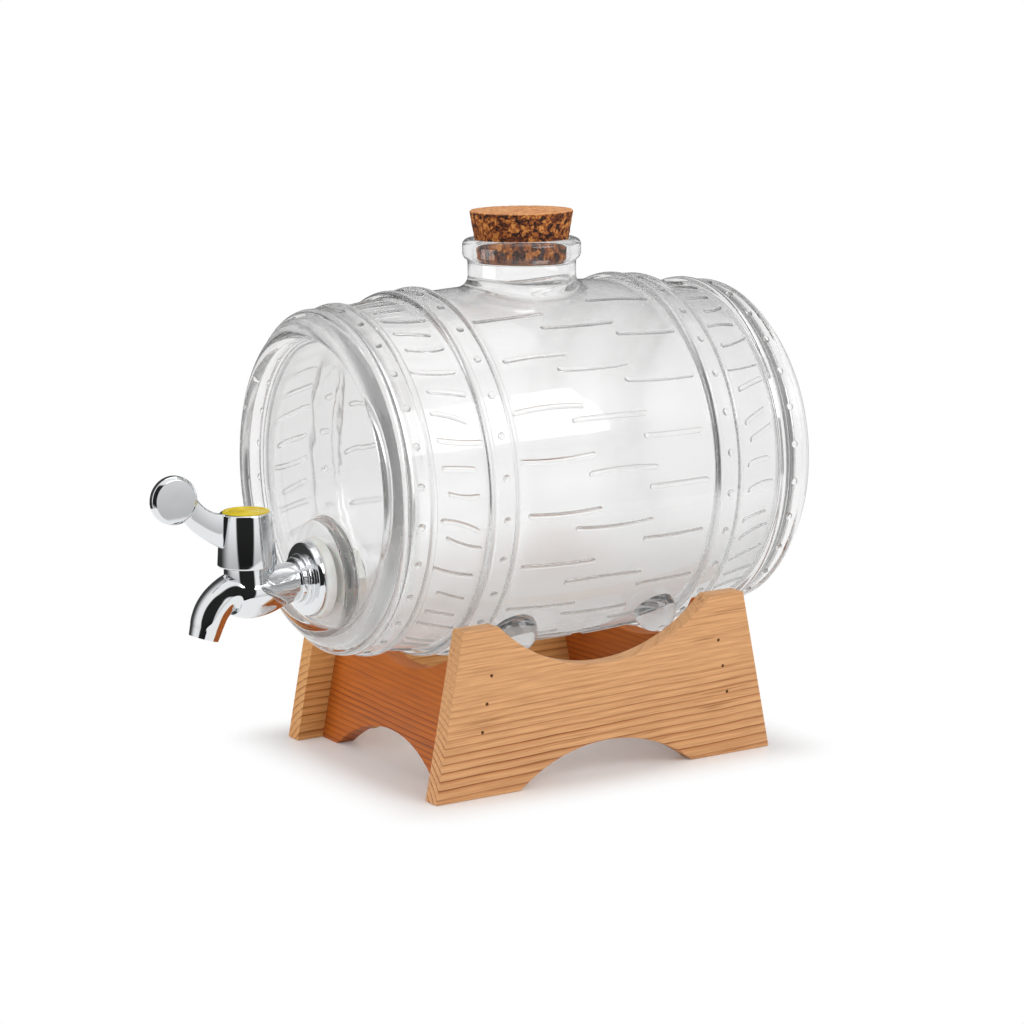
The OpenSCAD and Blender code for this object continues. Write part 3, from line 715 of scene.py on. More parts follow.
@dataclass
class Stand:
    """Two side panels on edge and two leaning cross boards, with scoops above and arches below."""

    height: float = 80.0
    panel_base: float = 189.0
    panel_top: float = 157.0
    panel_t: float = 10.0
    gap: float = 127.5
    scoop_r: float = 83.4
    panel_scoop: float = 25.0
    board_scoop: float = 31.5
    arch_r: float = 77.0
    arch_h: float = 17.4
    board_t: float = 10.0
    board_inset: float = 14.0
    brad_low: float = 31.3
    brad_pitch: float = 13.1
    brad_hole_r: float = 0.86
    brad_reach: float = 14.0
    brads: int = 3
    edge: float = 0.7
    flat_steps: int = 4
    arc_steps: int = 56

    def __post_init__(self) -> None:
        """Works out the slope of the ends and the reach of the arches."""
        self.slope = (self.panel_base - self.panel_top) / 2 / self.height
        self.board_y = self.panel_base / 2 - self.board_inset
        self.arch_half = math.sqrt(self.arch_r**2 - (self.arch_r - self.arch_h) ** 2)

    def scoop_half(self, depth: float) -> float:
        """Half the width of a scoop of that depth at the top edge."""
        return math.sqrt(self.scoop_r**2 - (self.scoop_r - depth) ** 2)

    def lower_edge(self, along: np.ndarray) -> np.ndarray:
        """Height of the foot's edge: an arc of the arch's circle, or 0 beside it."""
        rise = np.sqrt(np.maximum(0.0, self.arch_r**2 - along**2))
        return np.maximum(0.0, self.arch_h - self.arch_r + rise)

    def upper_edge(self, along: np.ndarray, depth: float) -> np.ndarray:
        """Height of the top edge: an arc of the scoop's circle, or the full height beside it."""
        centre = self.height - depth + self.scoop_r
        return np.minimum(self.height, centre - np.sqrt(np.maximum(0.0, self.scoop_r**2 - along**2)))

    def columns(self, half: float, arc_half: float) -> np.ndarray:
        """Places along a board, evenly spaced beside its arc and under it.

        Args:
            half: half the board's length.
            arc_half: half the arc's width.

        Returns:
            The places, from one end to the other.
        """
        flat = np.linspace(arc_half, half, self.flat_steps + 1)
        under = np.linspace(-arc_half, arc_half, self.arc_steps, endpoint=False)
        return np.concatenate([-flat[:0:-1], under, flat])

    def panel(self, name: str, side: int) -> Piece:
        """A side panel: straight lines from its lower to its upper edge, as thick as the board.

        Args:
            name: name of the piece.
            side: -1 for the left panel, 1 for the right one.

        Returns:
            The piece.
        """
        scoop = self.scoop_half(self.panel_scoop)
        foot = self.columns(self.panel_base / 2, self.arch_half)
        head = self.columns(self.panel_top / 2, scoop)
        low_z, high_z = self.lower_edge(foot), self.upper_edge(head, self.panel_scoop)
        inner, outer = side * self.gap / 2, side * (self.gap / 2 + self.panel_t)
        corners = [(outer, foot, low_z), (outer, head, high_z), (inner, head, high_z), (inner, foot, low_z)]
        lines = [(np.full_like(y, x), y, z) for x, y, z in corners]
        return skin(name, np.stack([np.stack(line, axis=-1) for line in lines], axis=1))

    def board(self, name: str, side: int) -> Piece:
        """A cross board: straight lines from its lower to its upper edge, leaning with the panels' ends.

        Args:
            name: name of the piece.
            side: -1 for the front board, 1 for the rear one.

        Returns:
            The piece.
        """
        across = self.columns(self.gap / 2, self.arch_half)
        low_z, high_z = self.lower_edge(across), self.upper_edge(across, self.board_scoop)
        corners = [(0.0, low_z), (0.0, high_z), (self.board_t, high_z), (self.board_t, low_z)]
        lines = [(across, side * (self.board_y - back - self.slope * z), z) for back, z in corners]
        return skin(name, np.stack([np.stack(line, axis=-1) for line in lines], axis=1))

    def brad_holes(self, side_x: int, sides_y: Sequence[int]) -> Piece:
        """Cutters for the brads through one panel into the ends of the boards: short turned rods.

        Args:
            side_x: -1 for the left panel, 1 for the right one.
            sides_y: the boards: -1 for the front one, 1 for the rear one.

        Returns:
            One skin with all cutters.
        """
        face = self.gap / 2 + self.panel_t
        outline = np.array([(self.brad_hole_r, -self.panel_t - self.brad_reach), (self.brad_hole_r, 1.0)])
        stacks = []
        for side_y in sides_y:
            for step in range(self.brads):
                rise = self.brad_low + step * self.brad_pitch
                y = side_y * (self.board_y - self.board_t / 2 - self.slope * rise)
                stacks.append(revolve(outline, np.array([side_x * face, y, rise]), side_x * X_AXIS, 16))
        return skin("brad holes", np.stack(stacks))

    def build(self) -> None:
        """Makes and dresses the four boards and dresses the brads."""
        planks = {
            "side_panel_left": (self.panel("panel_left", -1), (-1,), (-1, 1)),
            "side_panel_right": (self.panel("panel_right", 1), (1,), (-1, 1)),
            "front_cradle_board": (self.board("cross_board_front", -1), (-1, 1), (-1,)),
            "rear_cradle_board": (self.board("cross_board_rear", 1), (-1, 1), (1,)),
        }
        # The boards' russet palette is darker and more saturated than the panels': painted shade and warm
        # bounced light for boards that stand under the barrel. The left panel's amber palette lies between
        # its lit end grain and its shaded inner face, so it holds some painted shade.
        amber_partly_shaded, russet_painted_shade = ("E2A868", "CF8E4C", "9A5620"), ("C46A1E", "AE5512", "7A3606")
        finishes = {
            "side_panel_left": OiledPine(
                "Oiled pine, left panel", Grain.ALONG_Y, (-45, 0, -14), (1.2, 0.4), 3.4, *amber_partly_shaded
            ),
            "side_panel_right": OiledPine(
                "Oiled pine, right panel", Grain.ALONG_Y, (42, 0, -22), (1.6, -0.5)
            ),
            "front_cradle_board": OiledPine(
                "Oiled pine, front board", Grain.ALONG_X, (0, -112, -70), (0.8, 0.6), 2.8, *russet_painted_shade
            ),
            "rear_cradle_board": OiledPine(
                "Oiled pine, rear board", Grain.ALONG_X, (0, 108, -60), (-1.0, 0.4), 3.0, *russet_painted_shade
            ),
        }
        for node, (plank, sides_x, sides_y) in planks.items():
            ease_edges(plank, self.edge)
            for side_x in sides_x:
                combine(plank, Join.CUT, self.brad_holes(side_x, sides_y))
            shade(plank, 30)
            settle(plank, "stand", finishes[node].material(), node)
        dress_nodes(DrawnSteel("Drawn steel brads", "6E4E33"), "front_board_brads", "rear_board_brads")


@dataclass
class GlassBarrel:
    """The hollow barrel: staves on one arc, riveted hoops, rolled rims, heads, neck, tap boss and feet."""

    belly_r: float = 87.1
    end_r: float = 77.6
    rim_roll: float = 6.0
    rim_proud: float = 0.5
    recess_r: float = 68.0
    head_recess: float = 9.0
    head_t: float = 5.0
    wall_t: float = 4.5
    inner_corner: float = 12.0
    hoop_w: float = 16.0
    hoop_proud: float = 3.6
    bead_r: float = 2.0
    band_drop: float = 1.3
    end_hoop_in: float = 13.9
    belly_hoop_in: float = 55.4
    rivets: int = 28
    rivet_r: float = 1.9
    rivet_h: float = 1.3
    neck_r: float = 26.1
    neck_h: float = 21.4
    lip_r: float = 28.6
    lip_h: float = 10.0
    lip_round: float = 3.2
    neck_blend: float = 5.0
    mouth_r: float = 23.11
    foot_r: float = 10.5
    foot_flat: float = 0.6
    foot_y: float = 39.5
    foot_x: float = 55.0
    foot_z: float = 72.2
    boss_r: float = 28.0
    tap_hole_r: float = 8.5
    dash_rows: int = 21
    dash_w: float = 2.8
    dash_h: float = 1.1
    pole_r: float = 4.0
    around: int = 216
    around_inside: int = 180
    around_neck: int = 128

    def __post_init__(self) -> None:
        """Reads the barrel's places from the frame and works out the stave arc."""
        self.half = high("barrel_glass")[1]
        self.lip_z = high("barrel_glass")[2]
        self.belly_z = self.lip_z - self.neck_h
        self.axis_z = self.belly_z - self.belly_r
        self.tap_z = middle("outer_washer")[2]
        self.boss_s = -high("outer_washer")[1]
        self.rim_s = self.half - self.rim_roll
        sag = self.belly_r - self.end_r
        self.arc_r = (self.rim_s**2 + sag**2) / (2 * sag)
        self.head_s = self.half - self.head_recess
        self.inner_s = self.head_s - self.head_t
        self.hoops = (self.half - self.end_hoop_in, self.half - self.belly_hoop_in)
        self.centre = np.array([0.0, 0.0, self.axis_z])

    def stave(self, along: np.ndarray | float) -> np.ndarray:
        """Outer radius of the staves at a distance along the axis: a circle's arc, highest at mid length."""
        return self.belly_r - self.arc_r + np.sqrt(self.arc_r**2 - np.square(along))

    def wrap(self, along: np.ndarray, turn: np.ndarray, radius: np.ndarray) -> np.ndarray:
        """Points at a radius from the barrel's axis, turned from its top towards +X."""
        return np.stack([radius * np.sin(turn), along, self.axis_z + radius * np.cos(turn)], axis=-1)

    def hoop(self, along: float, outer_foot: bool = True) -> np.ndarray:
        """Outline of one hoop, square to the staves: a flat band between two round beads with hollow feet.

        Args:
            along: distance of its middle from mid length.
            outer_foot: whether its outer bead has a hollow foot too.

        Returns:
            Points as (radius, along), outwards along the barrel.
        """
        half, bead, foot = self.hoop_w / 2, self.bead_r, 0.45 * self.bead_r
        ball = arc((half - bead, self.hoop_proud - bead), bead, 158, 0, 9)
        blend = arc((half + foot, foot), foot, 180, 270, 3)
        flank = np.concatenate([ball, blend])
        outer = flank if outer_foot else np.concatenate([ball, blend[:1]])
        across, rise = np.concatenate([flank[::-1] * (-1, 1), outer]).T
        tilt = math.asin(along / self.arc_r)
        radius = self.stave(along) + rise * math.cos(tilt) - across * math.sin(tilt)
        return np.stack([radius, along + across * math.cos(tilt) + rise * math.sin(tilt)], axis=-1)

    def staves(self, start: float, end: float, steps: int) -> np.ndarray:
        """Outline points along the stave arc, without its ends."""
        along = np.linspace(start, end, steps + 1)[1:-1]
        return np.stack([self.stave(along), along], axis=-1)

    def outer_outline(self) -> np.ndarray:
        """Outline of the whole outside, from the middle of one head over the staves to the other head.

        Returns:
            Points as (radius, along).
        """
        end_hoop, belly_hoop = self.hoop(self.hoops[0], False), self.hoop(self.hoops[1])
        roll = self.rim_roll
        rim = arc((self.rim_s, self.end_r + self.rim_proud - roll), roll, 72, -43, 14)[:, ::-1]
        recess = [(self.recess_r, rim[-1, 1], 0), (self.recess_r, self.head_s, 3.0)]
        recess.append((self.pole_r, self.head_s, 0))
        head = rounded(recess, steps=6)[1:]
        plate = np.linspace(head[-2], head[-1], 6)[1:]
        half = np.concatenate(
            [
                self.staves(0, belly_hoop[0, 1], 14),
                belly_hoop,
                self.staves(belly_hoop[-1, 1], end_hoop[0, 1], 8),
                end_hoop,
                rim,
                head[:-1],
                plate,
            ]
        )
        return np.concatenate([half[::-1] * (1, -1), [(self.belly_r, 0.0)], half])

    def inner_outline(self) -> np.ndarray:
        """Outline of the hollow: the stave arc drawn in by the wall, round corners and flat ends.

        Returns:
            Points as (radius, along).
        """
        corner_s = self.inner_s - self.inner_corner
        corner_r = self.stave(corner_s) - self.wall_t - self.inner_corner
        along = np.linspace(0, corner_s, 33)[1:-1]
        wall = np.stack([self.stave(along) - self.wall_t, along], axis=-1)
        corner = arc((corner_s, corner_r), self.inner_corner, 90, 0, 9)[:, ::-1]
        plate = np.linspace(corner[-1], (self.pole_r, self.inner_s), 8)[1:]
        half = np.concatenate([wall, corner, plate])
        return np.concatenate([half[::-1] * (1, -1), [(self.belly_r - self.wall_t, 0.0)], half])

    def hollow(self) -> Piece:
        """The room inside: its outline turned about the barrel's axis and moved out or in by slow ripples.

        Returns:
            Its skin, for cutting.
        """
        rings = revolve(self.inner_outline(), self.centre, Y_AXIS, self.around_inside)
        away = rings - self.centre
        # Shares that grow from 0 to 1 over 20 mm towards either end and over 10 mm from the heads to the wall
        near_end = np.clip((np.abs(away[..., 1]) - 70.0) / 20.0, 0.0, 1.0)
        on_wall = np.clip((np.hypot(away[..., 0], away[..., 2]) - 62.0) / 10.0, 0.0, 1.0)
        # Height, wavelength and seed of each relief, the last of which lies near the ends
        reliefs = ((0.05, 34.0, 5), (0.02, 13.0, 6), (0.06 * near_end * on_wall, 14.0, 7))
        wave = sum(height * ripple(rings, wavelength, 24, seed) for height, wavelength, seed in reliefs)
        away[..., 1] *= 0.4
        return skin("hollow", rings + np.minimum(wave, 0.5)[..., None] * unit(away))

    def saddle(self, outline: np.ndarray, level: np.ndarray, inset: float) -> np.ndarray:
        """Rings round the neck's axis that follow the belly at their foot and turn level higher up.

        A point's height is its rise above a mix, by its level, of the belly's height there and its top's.

        Args:
            outline: distance of each ring from the neck's axis and its height above the belly.
            level: 0 where a ring follows the belly, 1 where it is level.
            inset: depth of the followed surface below the staves.

        Returns:
            Points of shape (rings, around, 3).
        """
        turn = round_angles(self.around_neck)
        radius, rise = outline.T[..., None]
        x, y = radius * np.cos(turn), radius * np.sin(turn)
        belly = self.axis_z + np.sqrt(np.maximum(1.0, (self.stave(y) - inset) ** 2 - x**2))
        top = self.belly_z - inset
        share = level[:, None]
        return np.stack([x, y, (1 - share) * belly + share * top + rise], axis=-1)

    def neck(self) -> Piece:
        """The neck's outside: a hollow blend out of the belly, a straight wall and a thick round lip.

        Returns:
            Its skin, not hollowed yet.
        """
        blend, turn = self.neck_blend, self.lip_round
        foot = arc((self.neck_r + blend, blend), blend, 270, 180, 8)
        lip_low = self.neck_h - self.lip_h
        under = arc((self.lip_r - turn, lip_low + turn), turn, -65, 0, 6)
        over = arc((self.lip_r - turn, self.neck_h - turn), turn, 0, 90, 7)
        start = [(foot[0, 0] + 1.5, -2.5), (foot[0, 0] + 0.6, -0.5)]
        wall = [(self.neck_r + out, lip_low + up) for out, up in ((0.0, -1.6), (0.15, -0.5), (0.5, 0.1))]
        outline = np.concatenate([start, foot, wall, under, over, [(self.mouth_r - 6, self.neck_h)]])
        level = np.clip((outline[:, 1] - blend * 0.7) / (0.45 * self.neck_h), 0.0, 1.0)
        return skin("neck", self.saddle(outline, level, 0.0))

    def mouth(self) -> Piece:
        """The bore of the neck, flared round its upper edge and into the hollow below.

        Returns:
            Its skin, for cutting.
        """
        blend, edge = 3.0, 1.3
        inner_h = self.neck_h + self.wall_t
        foot = arc((self.mouth_r + blend, blend), blend, 270, 180, 6)
        brim = arc((self.mouth_r + edge, inner_h - edge), edge, 180, 100, 5)
        start, end = [(foot[0, 0] + 1.0, -3.0)], [(brim[-1, 0], inner_h + 3)]
        outline = np.concatenate([start, foot, [(self.mouth_r, inner_h - 4)], brim, end])
        level = np.clip((outline[:, 1] - blend) / (0.4 * inner_h), 0.0, 1.0)
        return skin("mouth", self.saddle(outline, level, self.wall_t))

    def boss(self) -> Piece:
        """The round pad that the tap's washer sits on: a rounded outline turned about the tap's axis.

        Returns:
            Its skin, rooted in the front head.
        """
        deep, out, foot_r = -self.head_t / 2, self.boss_s - self.head_s, self.boss_r + 2
        root = [(self.pole_r, deep, 0), (foot_r, deep, 0), (foot_r, 0.2, 0), (self.boss_r, 0.2, 1.5)]
        outline = rounded(root + [(self.boss_r - 0.6, out, 1.8), (self.pole_r, out, 0)])
        return turned("boss", outline, (0.0, -self.head_s, self.tap_z), -Y_AXIS, 96)

    def feet(self) -> Piece:
        """Four ball feet with flat tips: a stem and a circle's arc turned about the line out of the barrel.

        Returns:
            One skin with all four.
        """
        reach = math.hypot(self.foot_x, self.axis_z - self.foot_z)
        tip = math.degrees(math.acos((self.foot_r - self.foot_flat) / self.foot_r))
        ball = arc((0.0, 0.0), self.foot_r, -20, 90 - tip, 12)
        stem = [(0.9 * self.foot_r + 2.0, -self.foot_r * 0.85), (0.92 * self.foot_r, -self.foot_r * 0.5)]
        outline = np.concatenate([stem, ball, [(2.0, self.foot_r - self.foot_flat)]])
        stacks = []
        for side in (-1, 1):
            for end in (-1, 1):
                out = np.array([side * self.foot_x, 0.0, self.foot_z - self.axis_z]) / reach
                centre = np.array([side * self.foot_x, end * self.foot_y, self.foot_z])
                stacks.append(revolve(outline, centre, out, 40))
        return skin("feet", np.stack(stacks))

    def rivet_heads(self) -> Piece:
        """Domes in a row round each hoop's band: an ellipse's arc turned about the line out of the barrel.

        Returns:
            One skin with all domes.
        """
        turn = np.arange(self.rivets) * 2 * math.pi / self.rivets + math.pi / self.rivets
        places = np.array([sign * along for along in self.hoops for sign in (-1, 1)])
        along, turn = (grid.ravel()[:, None, None] for grid in np.meshgrid(places, turn))
        climb = np.radians(np.linspace(-30, 80, 6))[None, :, None]
        spin = round_angles(11)[None, None, :]
        reach = self.rivet_r * np.cos(climb)
        seat = self.stave(along) + self.hoop_proud - self.band_drop - 0.05
        radius = seat + self.rivet_h * np.sin(climb) + 0 * spin
        points = self.wrap(along + reach * np.cos(spin), turn + reach * np.sin(spin) / seat, radius)
        return skin("rivets", points)

    def dashes(self) -> Piece:
        """Raised grain strokes on the staves: flat ellipses carried along short, slightly bent lines.

        A stroke runs along the barrel at one angle. Its half width and height shrink along a circle's arc at
        both ends, and its line bends by a parabola.

        Returns:
            One skin with all strokes.
        """
        draw = np.random.default_rng(11)
        count = self.dash_rows
        pitch = 2 * math.pi / count
        rows = np.arange(count) * pitch
        # Strokes as (middle, length, turn round the barrel, bend, lean): three columns in the middle bay
        strokes = [
            (
                middle_s + draw.uniform(-2.5, 2.5, count),
                length + draw.uniform(-5.0, 2.5, count),
                rows + pitch * (shift + draw.uniform(-0.05, 0.05, count)),
                draw.uniform(-1.3, 1.3, count),
                np.zeros(count),
            )
            for middle_s, length, shift in ((-1.0, 42.0, 0.0), (33.0, 38.0, 0.36), (-32.0, 39.0, 0.68))
        ]
        # Two columns in each end bay, which lean down towards the ends of the barrel
        strokes += [
            (
                end * (middle_s + draw.uniform(-0.8, 0.8, count)),
                20.5 + draw.uniform(-6.0, 2.0, count),
                rows + pitch * (shift + draw.uniform(-0.1, 0.1, count)),
                draw.uniform(-1.4, 1.4, count),
                -end * draw.uniform(0.5, 3.5, count),
            )
            for end in (-1, 1)
            for middle_s, shift in ((82.0, 0.15), (84.0, 0.65))
        ]
        table = np.concatenate(strokes, axis=1)
        # No stroke runs into the neck's foot
        near = np.hypot(table[0], self.belly_r * np.sin(table[2])) < self.neck_r + self.neck_blend + 9
        table = table[:, ~(near & (np.cos(table[2]) > 0))]
        middle_s, length, turn, bend, lean = table[..., None, None]
        step = np.sin(np.linspace(-0.5, 0.5, 20) * math.pi * 0.97)[None, :, None]
        spin = round_angles(10)[None, None, :]
        cap = np.clip((np.abs(step) - 1) * length / self.dash_w + 1, 0.0, 1.0)
        fade = np.sqrt(1 - cap**2)
        along = middle_s + step * length / 2 + 0 * spin
        base = self.stave(along)
        drift = bend * (step**2 - 0.4) + lean * step
        angle = turn + (drift + fade * self.dash_w / 2 * np.cos(spin)) / base
        radius = base - 0.06 + fade * self.dash_h * np.sin(spin)
        return skin("dashes", self.wrap(along, angle, radius))

    def build(self) -> None:
        """Joins the barrel into one closed skin and dresses it."""
        barrel = skin("glass_barrel", revolve(self.outer_outline(), self.centre, Y_AXIS, self.around))
        combine(barrel, Join.ADD, self.dashes(), self.rivet_heads(), self.neck(), self.boss(), self.feet())
        bore = [(self.tap_hole_r, -12.0), (self.tap_hole_r, 20.0)]
        tap_hole = turned("tap hole", bore, (0.0, -self.head_s, self.tap_z), -Y_AXIS, 64)
        combine(barrel, Join.CUT, self.hollow(), self.mouth(), tap_hole)
        shade(barrel, 40)
        glass = PressedGlass("Pressed soda-lime glass", self.axis_z, self.belly_r, self.arc_r, self.inner_s)
        settle(barrel, "barrel", glass.material(), "barrel_glass")


@dataclass
class CorkStopper:
    """A tapered stopper, ground from pressed cork granules."""

    top_r: float = 25.1
    low_r: float = 21.5
    edge: float = 0.7
    pit_mm: float = 0.35

    def build(self) -> None:
        """Makes the cone with small pits where granules have broken out, and dresses it."""
        base, top = low("cork_stopper")[2], high("cork_stopper")[2]
        tall, pole = top - base, 3.0
        corners = [(pole, 0, 0), (self.low_r, 0, self.edge), (self.top_r, tall, self.edge), (pole, tall, 0)]
        outline = rounded(corners)
        # Points 1 to 5 round the lower edge and 6 to 10 the upper one
        side = np.linspace(outline[5], outline[6], 30)[1:-1]
        lid = np.linspace(outline[-2], outline[-1], 18)[1:]
        floor = np.linspace(outline[0], outline[1], 12)[:-1]
        outline = np.concatenate([floor, outline[1:6], side, outline[6:-1], lid])
        rings = revolve(outline, np.array([0.0, 0.0, base]), Z_AXIS, 180)
        relief = ripple(rings, 3.2, 40, seed=3)
        pits = self.pit_mm * np.clip(relief - 1.1, 0.0, 1.0) + 0.05 * (ripple(rings, 1.9, 40, seed=4) + 2)
        inward = unit(np.array([0.0, 0.0, (base + top) / 2]) - rings)
        cork = skin("cork_cone", rings + pits[..., None] * inward)
        shade(cork, 60)
        finish = AgglomeratedCork("Agglomerated cork, ground", top)
        settle(cork, "cork", finish.material(), "cork_stopper")


@dataclass
class TapFitting:
    """What clamps the tap in the glass: a washer outside, a washer and a nut inside."""

    bore_r: float = 8.06
    nut_flats: float = 24.0
    nut_edge: float = 0.7

    def washer(self, name: str, node: str, taper: float) -> Piece:
        """A moulded washer with rounded edges, slightly narrower on its outer face.

        Args:
            name: name of the piece.
            node: CAD node whose place and size it takes.
            taper: how much its outer face is narrower.

        Returns:
            The piece.
        """
        lowest, highest = low(node), high(node)
        reach = (highest[0] - lowest[0]) / 2
        thick = highest[1] - lowest[1]
        bore = self.bore_r
        corners = [(bore, 0, 0.4), (reach, 0, 0.8), (reach - taper, thick, 1.2), (bore, thick, 0.4)]
        centre = (0.0, highest[1], middle(node)[2])
        return turned(name, rounded(corners, looped=True), centre, -Y_AXIS, 96, looped=True)

    def nut(self) -> Piece:
        """A chamfered hexagon nut, whose radius is half its flats / cos(angle from the flat's middle).

        Returns:
            The piece.
        """
        front, back, edge = low("back_nut")[1], high("back_nut")[1], self.nut_edge
        turn = round_angles(96)
        flat = np.mod(turn + math.pi / 6, math.pi / 3) - math.pi / 6
        hexagon = self.nut_flats / 2 / np.cos(flat)
        # Share of the way from bore to hexagon, and place along the barrel
        stations = [(1.0, front + edge), (1.0, back - edge), (0.88, back)]
        stations += [(0.0, back), (0.0, front), (0.88, front)]
        rings = []
        for share, along in stations:
            radius = self.bore_r + share * (hexagon - self.bore_r)
            rise = middle("back_nut")[2] + radius * np.cos(turn)
            rings.append(np.stack([radius * np.sin(turn), np.full_like(turn, along), rise], axis=-1))
        return skin("shank_nut", np.stack(rings), looped=True)

    def build(self) -> None:
        """Makes and dresses the washers and the nut."""
        silicone = Moulded("White silicone, moulded", "F4F3F0", "E9E7E2", 0.45, 1.0, 0.02, 0.3).material()
        nylon = Moulded("White nylon, moulded", "F1F0EC", "E6E4DE", 0.35).material()
        for side, taper in (("outer", 0.7), ("inner", 0.2)):
            node = f"{side}_washer"
            ring = self.washer(f"washer_{side}", node, taper)
            shade(ring)
            settle(ring, "barrel", silicone, node)
        nut = self.nut()
        shade(nut, 30)
        settle(nut, "barrel", nylon, "back_nut")


@dataclass
class Tap:
    """The chromed tap: flange, collar, swelling body, bent spout and a lever handle that turns its plug."""

    flange_r: float = 18.2
    flange_t: float = 3.5
    shank_r: float = 8.0
    collar_r: float = 12.3
    collar_w: float = 2.6
    root_r: float = 9.2
    handle_out: float = 28.5
    water_r: float = 4.4
    tip_r: float = 7.1
    bend_r: float = 19.5
    bend_turn: float = 72.0
    bend_ahead: float = 2.4
    bend_drop: float = 0.5
    straight: float = 8.0
    valve_neck_r: float = 11.0
    valve_neck_h: float = 10.5
    plug_bore_r: float = 7.06
    plug_floor: float = -8.46
    gland_seat: float = 6.66
    gland_bore_r: float = 9.06
    cap_low_r: float = 13.9
    cap_top_r: float = 12.2
    cap_hollow_r: float = 11.5
    cap_hollow: float = 10.0
    drive_w: float = 6.12
    drive_h: float = 7.0
    web_t: float = 2.0
    well_r: float = 4.0
    screw_hole_r: float = 1.56
    index_r: float = 10.96
    index_deep: float = 2.0
    lever_reach: float = 36.3
    lever_rise: float = 9.1
    lever_root: float = 16.0
    paddle_r: float = 11.3
    paddle_t: float = 5.6
    arm_t: float = 4.2
    hollow_r: float = 19.2
    hollow_out: float = 9.0
    pole_r: float = 2.0

    def __post_init__(self) -> None:
        """Reads the tap's places from the frame."""
        self.tap_z = middle("outer_washer")[2]
        self.flange_y = low("outer_washer")[1]
        self.face_y = self.flange_y - self.flange_t
        self.handle_y = middle("index_disc")[1]
        self.cap_z = low("tap_handle")[2]
        self.cap_top = low("index_disc")[2] + self.index_deep
        self.shank_in = high("tap_body")[1] - self.flange_y

    def rod(self, stations: Sequence[Sequence[float]], around: int) -> np.ndarray:
        """Rings of a round rod along a smooth curve through stations.

        Args:
            stations: each as (out from the flange's face, rise, radius).
            around: number of points in a ring.

        Returns:
            Points of shape (rings, around, 3).
        """
        line = smooth_path(stations, 7)
        path = np.stack([np.zeros(len(line)), self.face_y - line[:, 0], self.tap_z + line[:, 1]], axis=-1)
        return sweep(path, line[:, 2], around)

    def bend(self, angles: Sequence[float], radii: Sequence[float]) -> list[tuple[float, float, float]]:
        """Stations round the spout's bend, a circle's arc that starts level, and along its straight tip.

        Args:
            angles: how far each station of the bend is turned, in degrees.
            radii: the radius at each of them, then at the tip's end.

        Returns:
            Stations as (out from the flange's face, rise, radius).
        """
        start = self.handle_out + self.bend_ahead
        found = []
        for angle, radius in zip(np.radians(angles), radii):
            drop = self.bend_drop + self.bend_r * (1 - math.cos(angle))
            found.append((start + self.bend_r * math.sin(angle), -drop, radius))
        turn = math.radians(self.bend_turn)
        out, rise, _ = found[-1]
        for share in (0.5, 1.0):
            reach = share * self.straight
            radius = (1 - share) * radii[-2] + share * radii[-1]
            found.append((out + reach * math.cos(turn), rise - reach * math.sin(turn), radius))
        return found

    def body(self) -> Piece:
        """The fixed casting: shank, flange, collar and a rod that swells and ends in the bent spout.

        Returns:
            The piece.
        """
        shank, step, pole = self.shank_in, self.flange_t + self.collar_w, self.pole_r
        nose_r, nose = (self.collar_r + self.root_r) / 2, self.flange_t + 2 * self.collar_w
        corners = [(pole, -shank, 0), (self.shank_r, -shank, 0.6), (self.shank_r, 0, 0.1)]
        corners += [(self.flange_r, 0, 0.5), (self.flange_r - 1.0, self.flange_t, 0.9)]
        corners.append((self.collar_r, self.flange_t, 0.3))
        corners += [(self.collar_r, step, 0.9), (nose_r, step, 0.2), (nose_r, nose, 0.8), (pole, nose, 0)]
        flange_at, axis = (0.0, self.flange_y, self.tap_z), (0.0, self.handle_y, self.tap_z)
        tap = turned("tap_casting", rounded(corners), flange_at, -Y_AXIS, 96)
        # Stations as (out from the flange's face, rise, radius)
        swell = [(1.0, 0.0, self.root_r), (7.0, -0.5, 9.4), (14.5, -1.6, 10.5), (22.0, -2.7, 11.8)]
        swell += [(self.handle_out, -3.0, 12.2), (33.0, -2.7, 11.3), (36.6, -2.0, 9.6)]
        spout = self.bend((30, 44, 58, self.bend_turn), (8.35, 8.2, 8.15, 8.0, self.tip_r))
        neck_r, neck_h = self.valve_neck_r, self.valve_neck_h
        neck = rounded([(pole, -3, 0), (neck_r, -3, 0), (neck_r, neck_h, 0.5), (pole, neck_h, 0)])
        rod = skin("rod", self.rod(swell + spout, 72))
        combine(tap, Join.ADD, rod, turned("valve neck", neck, axis, Z_AXIS, 72))
        way = self.bend((0, 18, 36, 54, self.bend_turn), (self.water_r,) * 6)
        out, rise, _ = way[-1]
        turn = math.radians(self.bend_turn)
        way.append((out + math.cos(turn), rise - math.sin(turn), self.water_r))
        inlet = [(self.water_r, -shank - 1), (self.water_r, self.flange_t + self.handle_out)]
        bore = [(self.plug_bore_r, self.plug_floor), (self.plug_bore_r, self.gland_seat + 1)]
        seat = [(self.gland_bore_r, self.gland_seat), (self.gland_bore_r, neck_h + 1)]
        combine(
            tap,
            Join.CUT,
            turned("inlet", inlet, flange_at, -Y_AXIS, 48),
            skin("outlet", self.rod(way, 48)),
            turned("plug bore", bore, axis, Z_AXIS, 64),
            turned("gland seat", seat, axis, Z_AXIS, 64),
        )
        shade(tap, 42)
        return tap

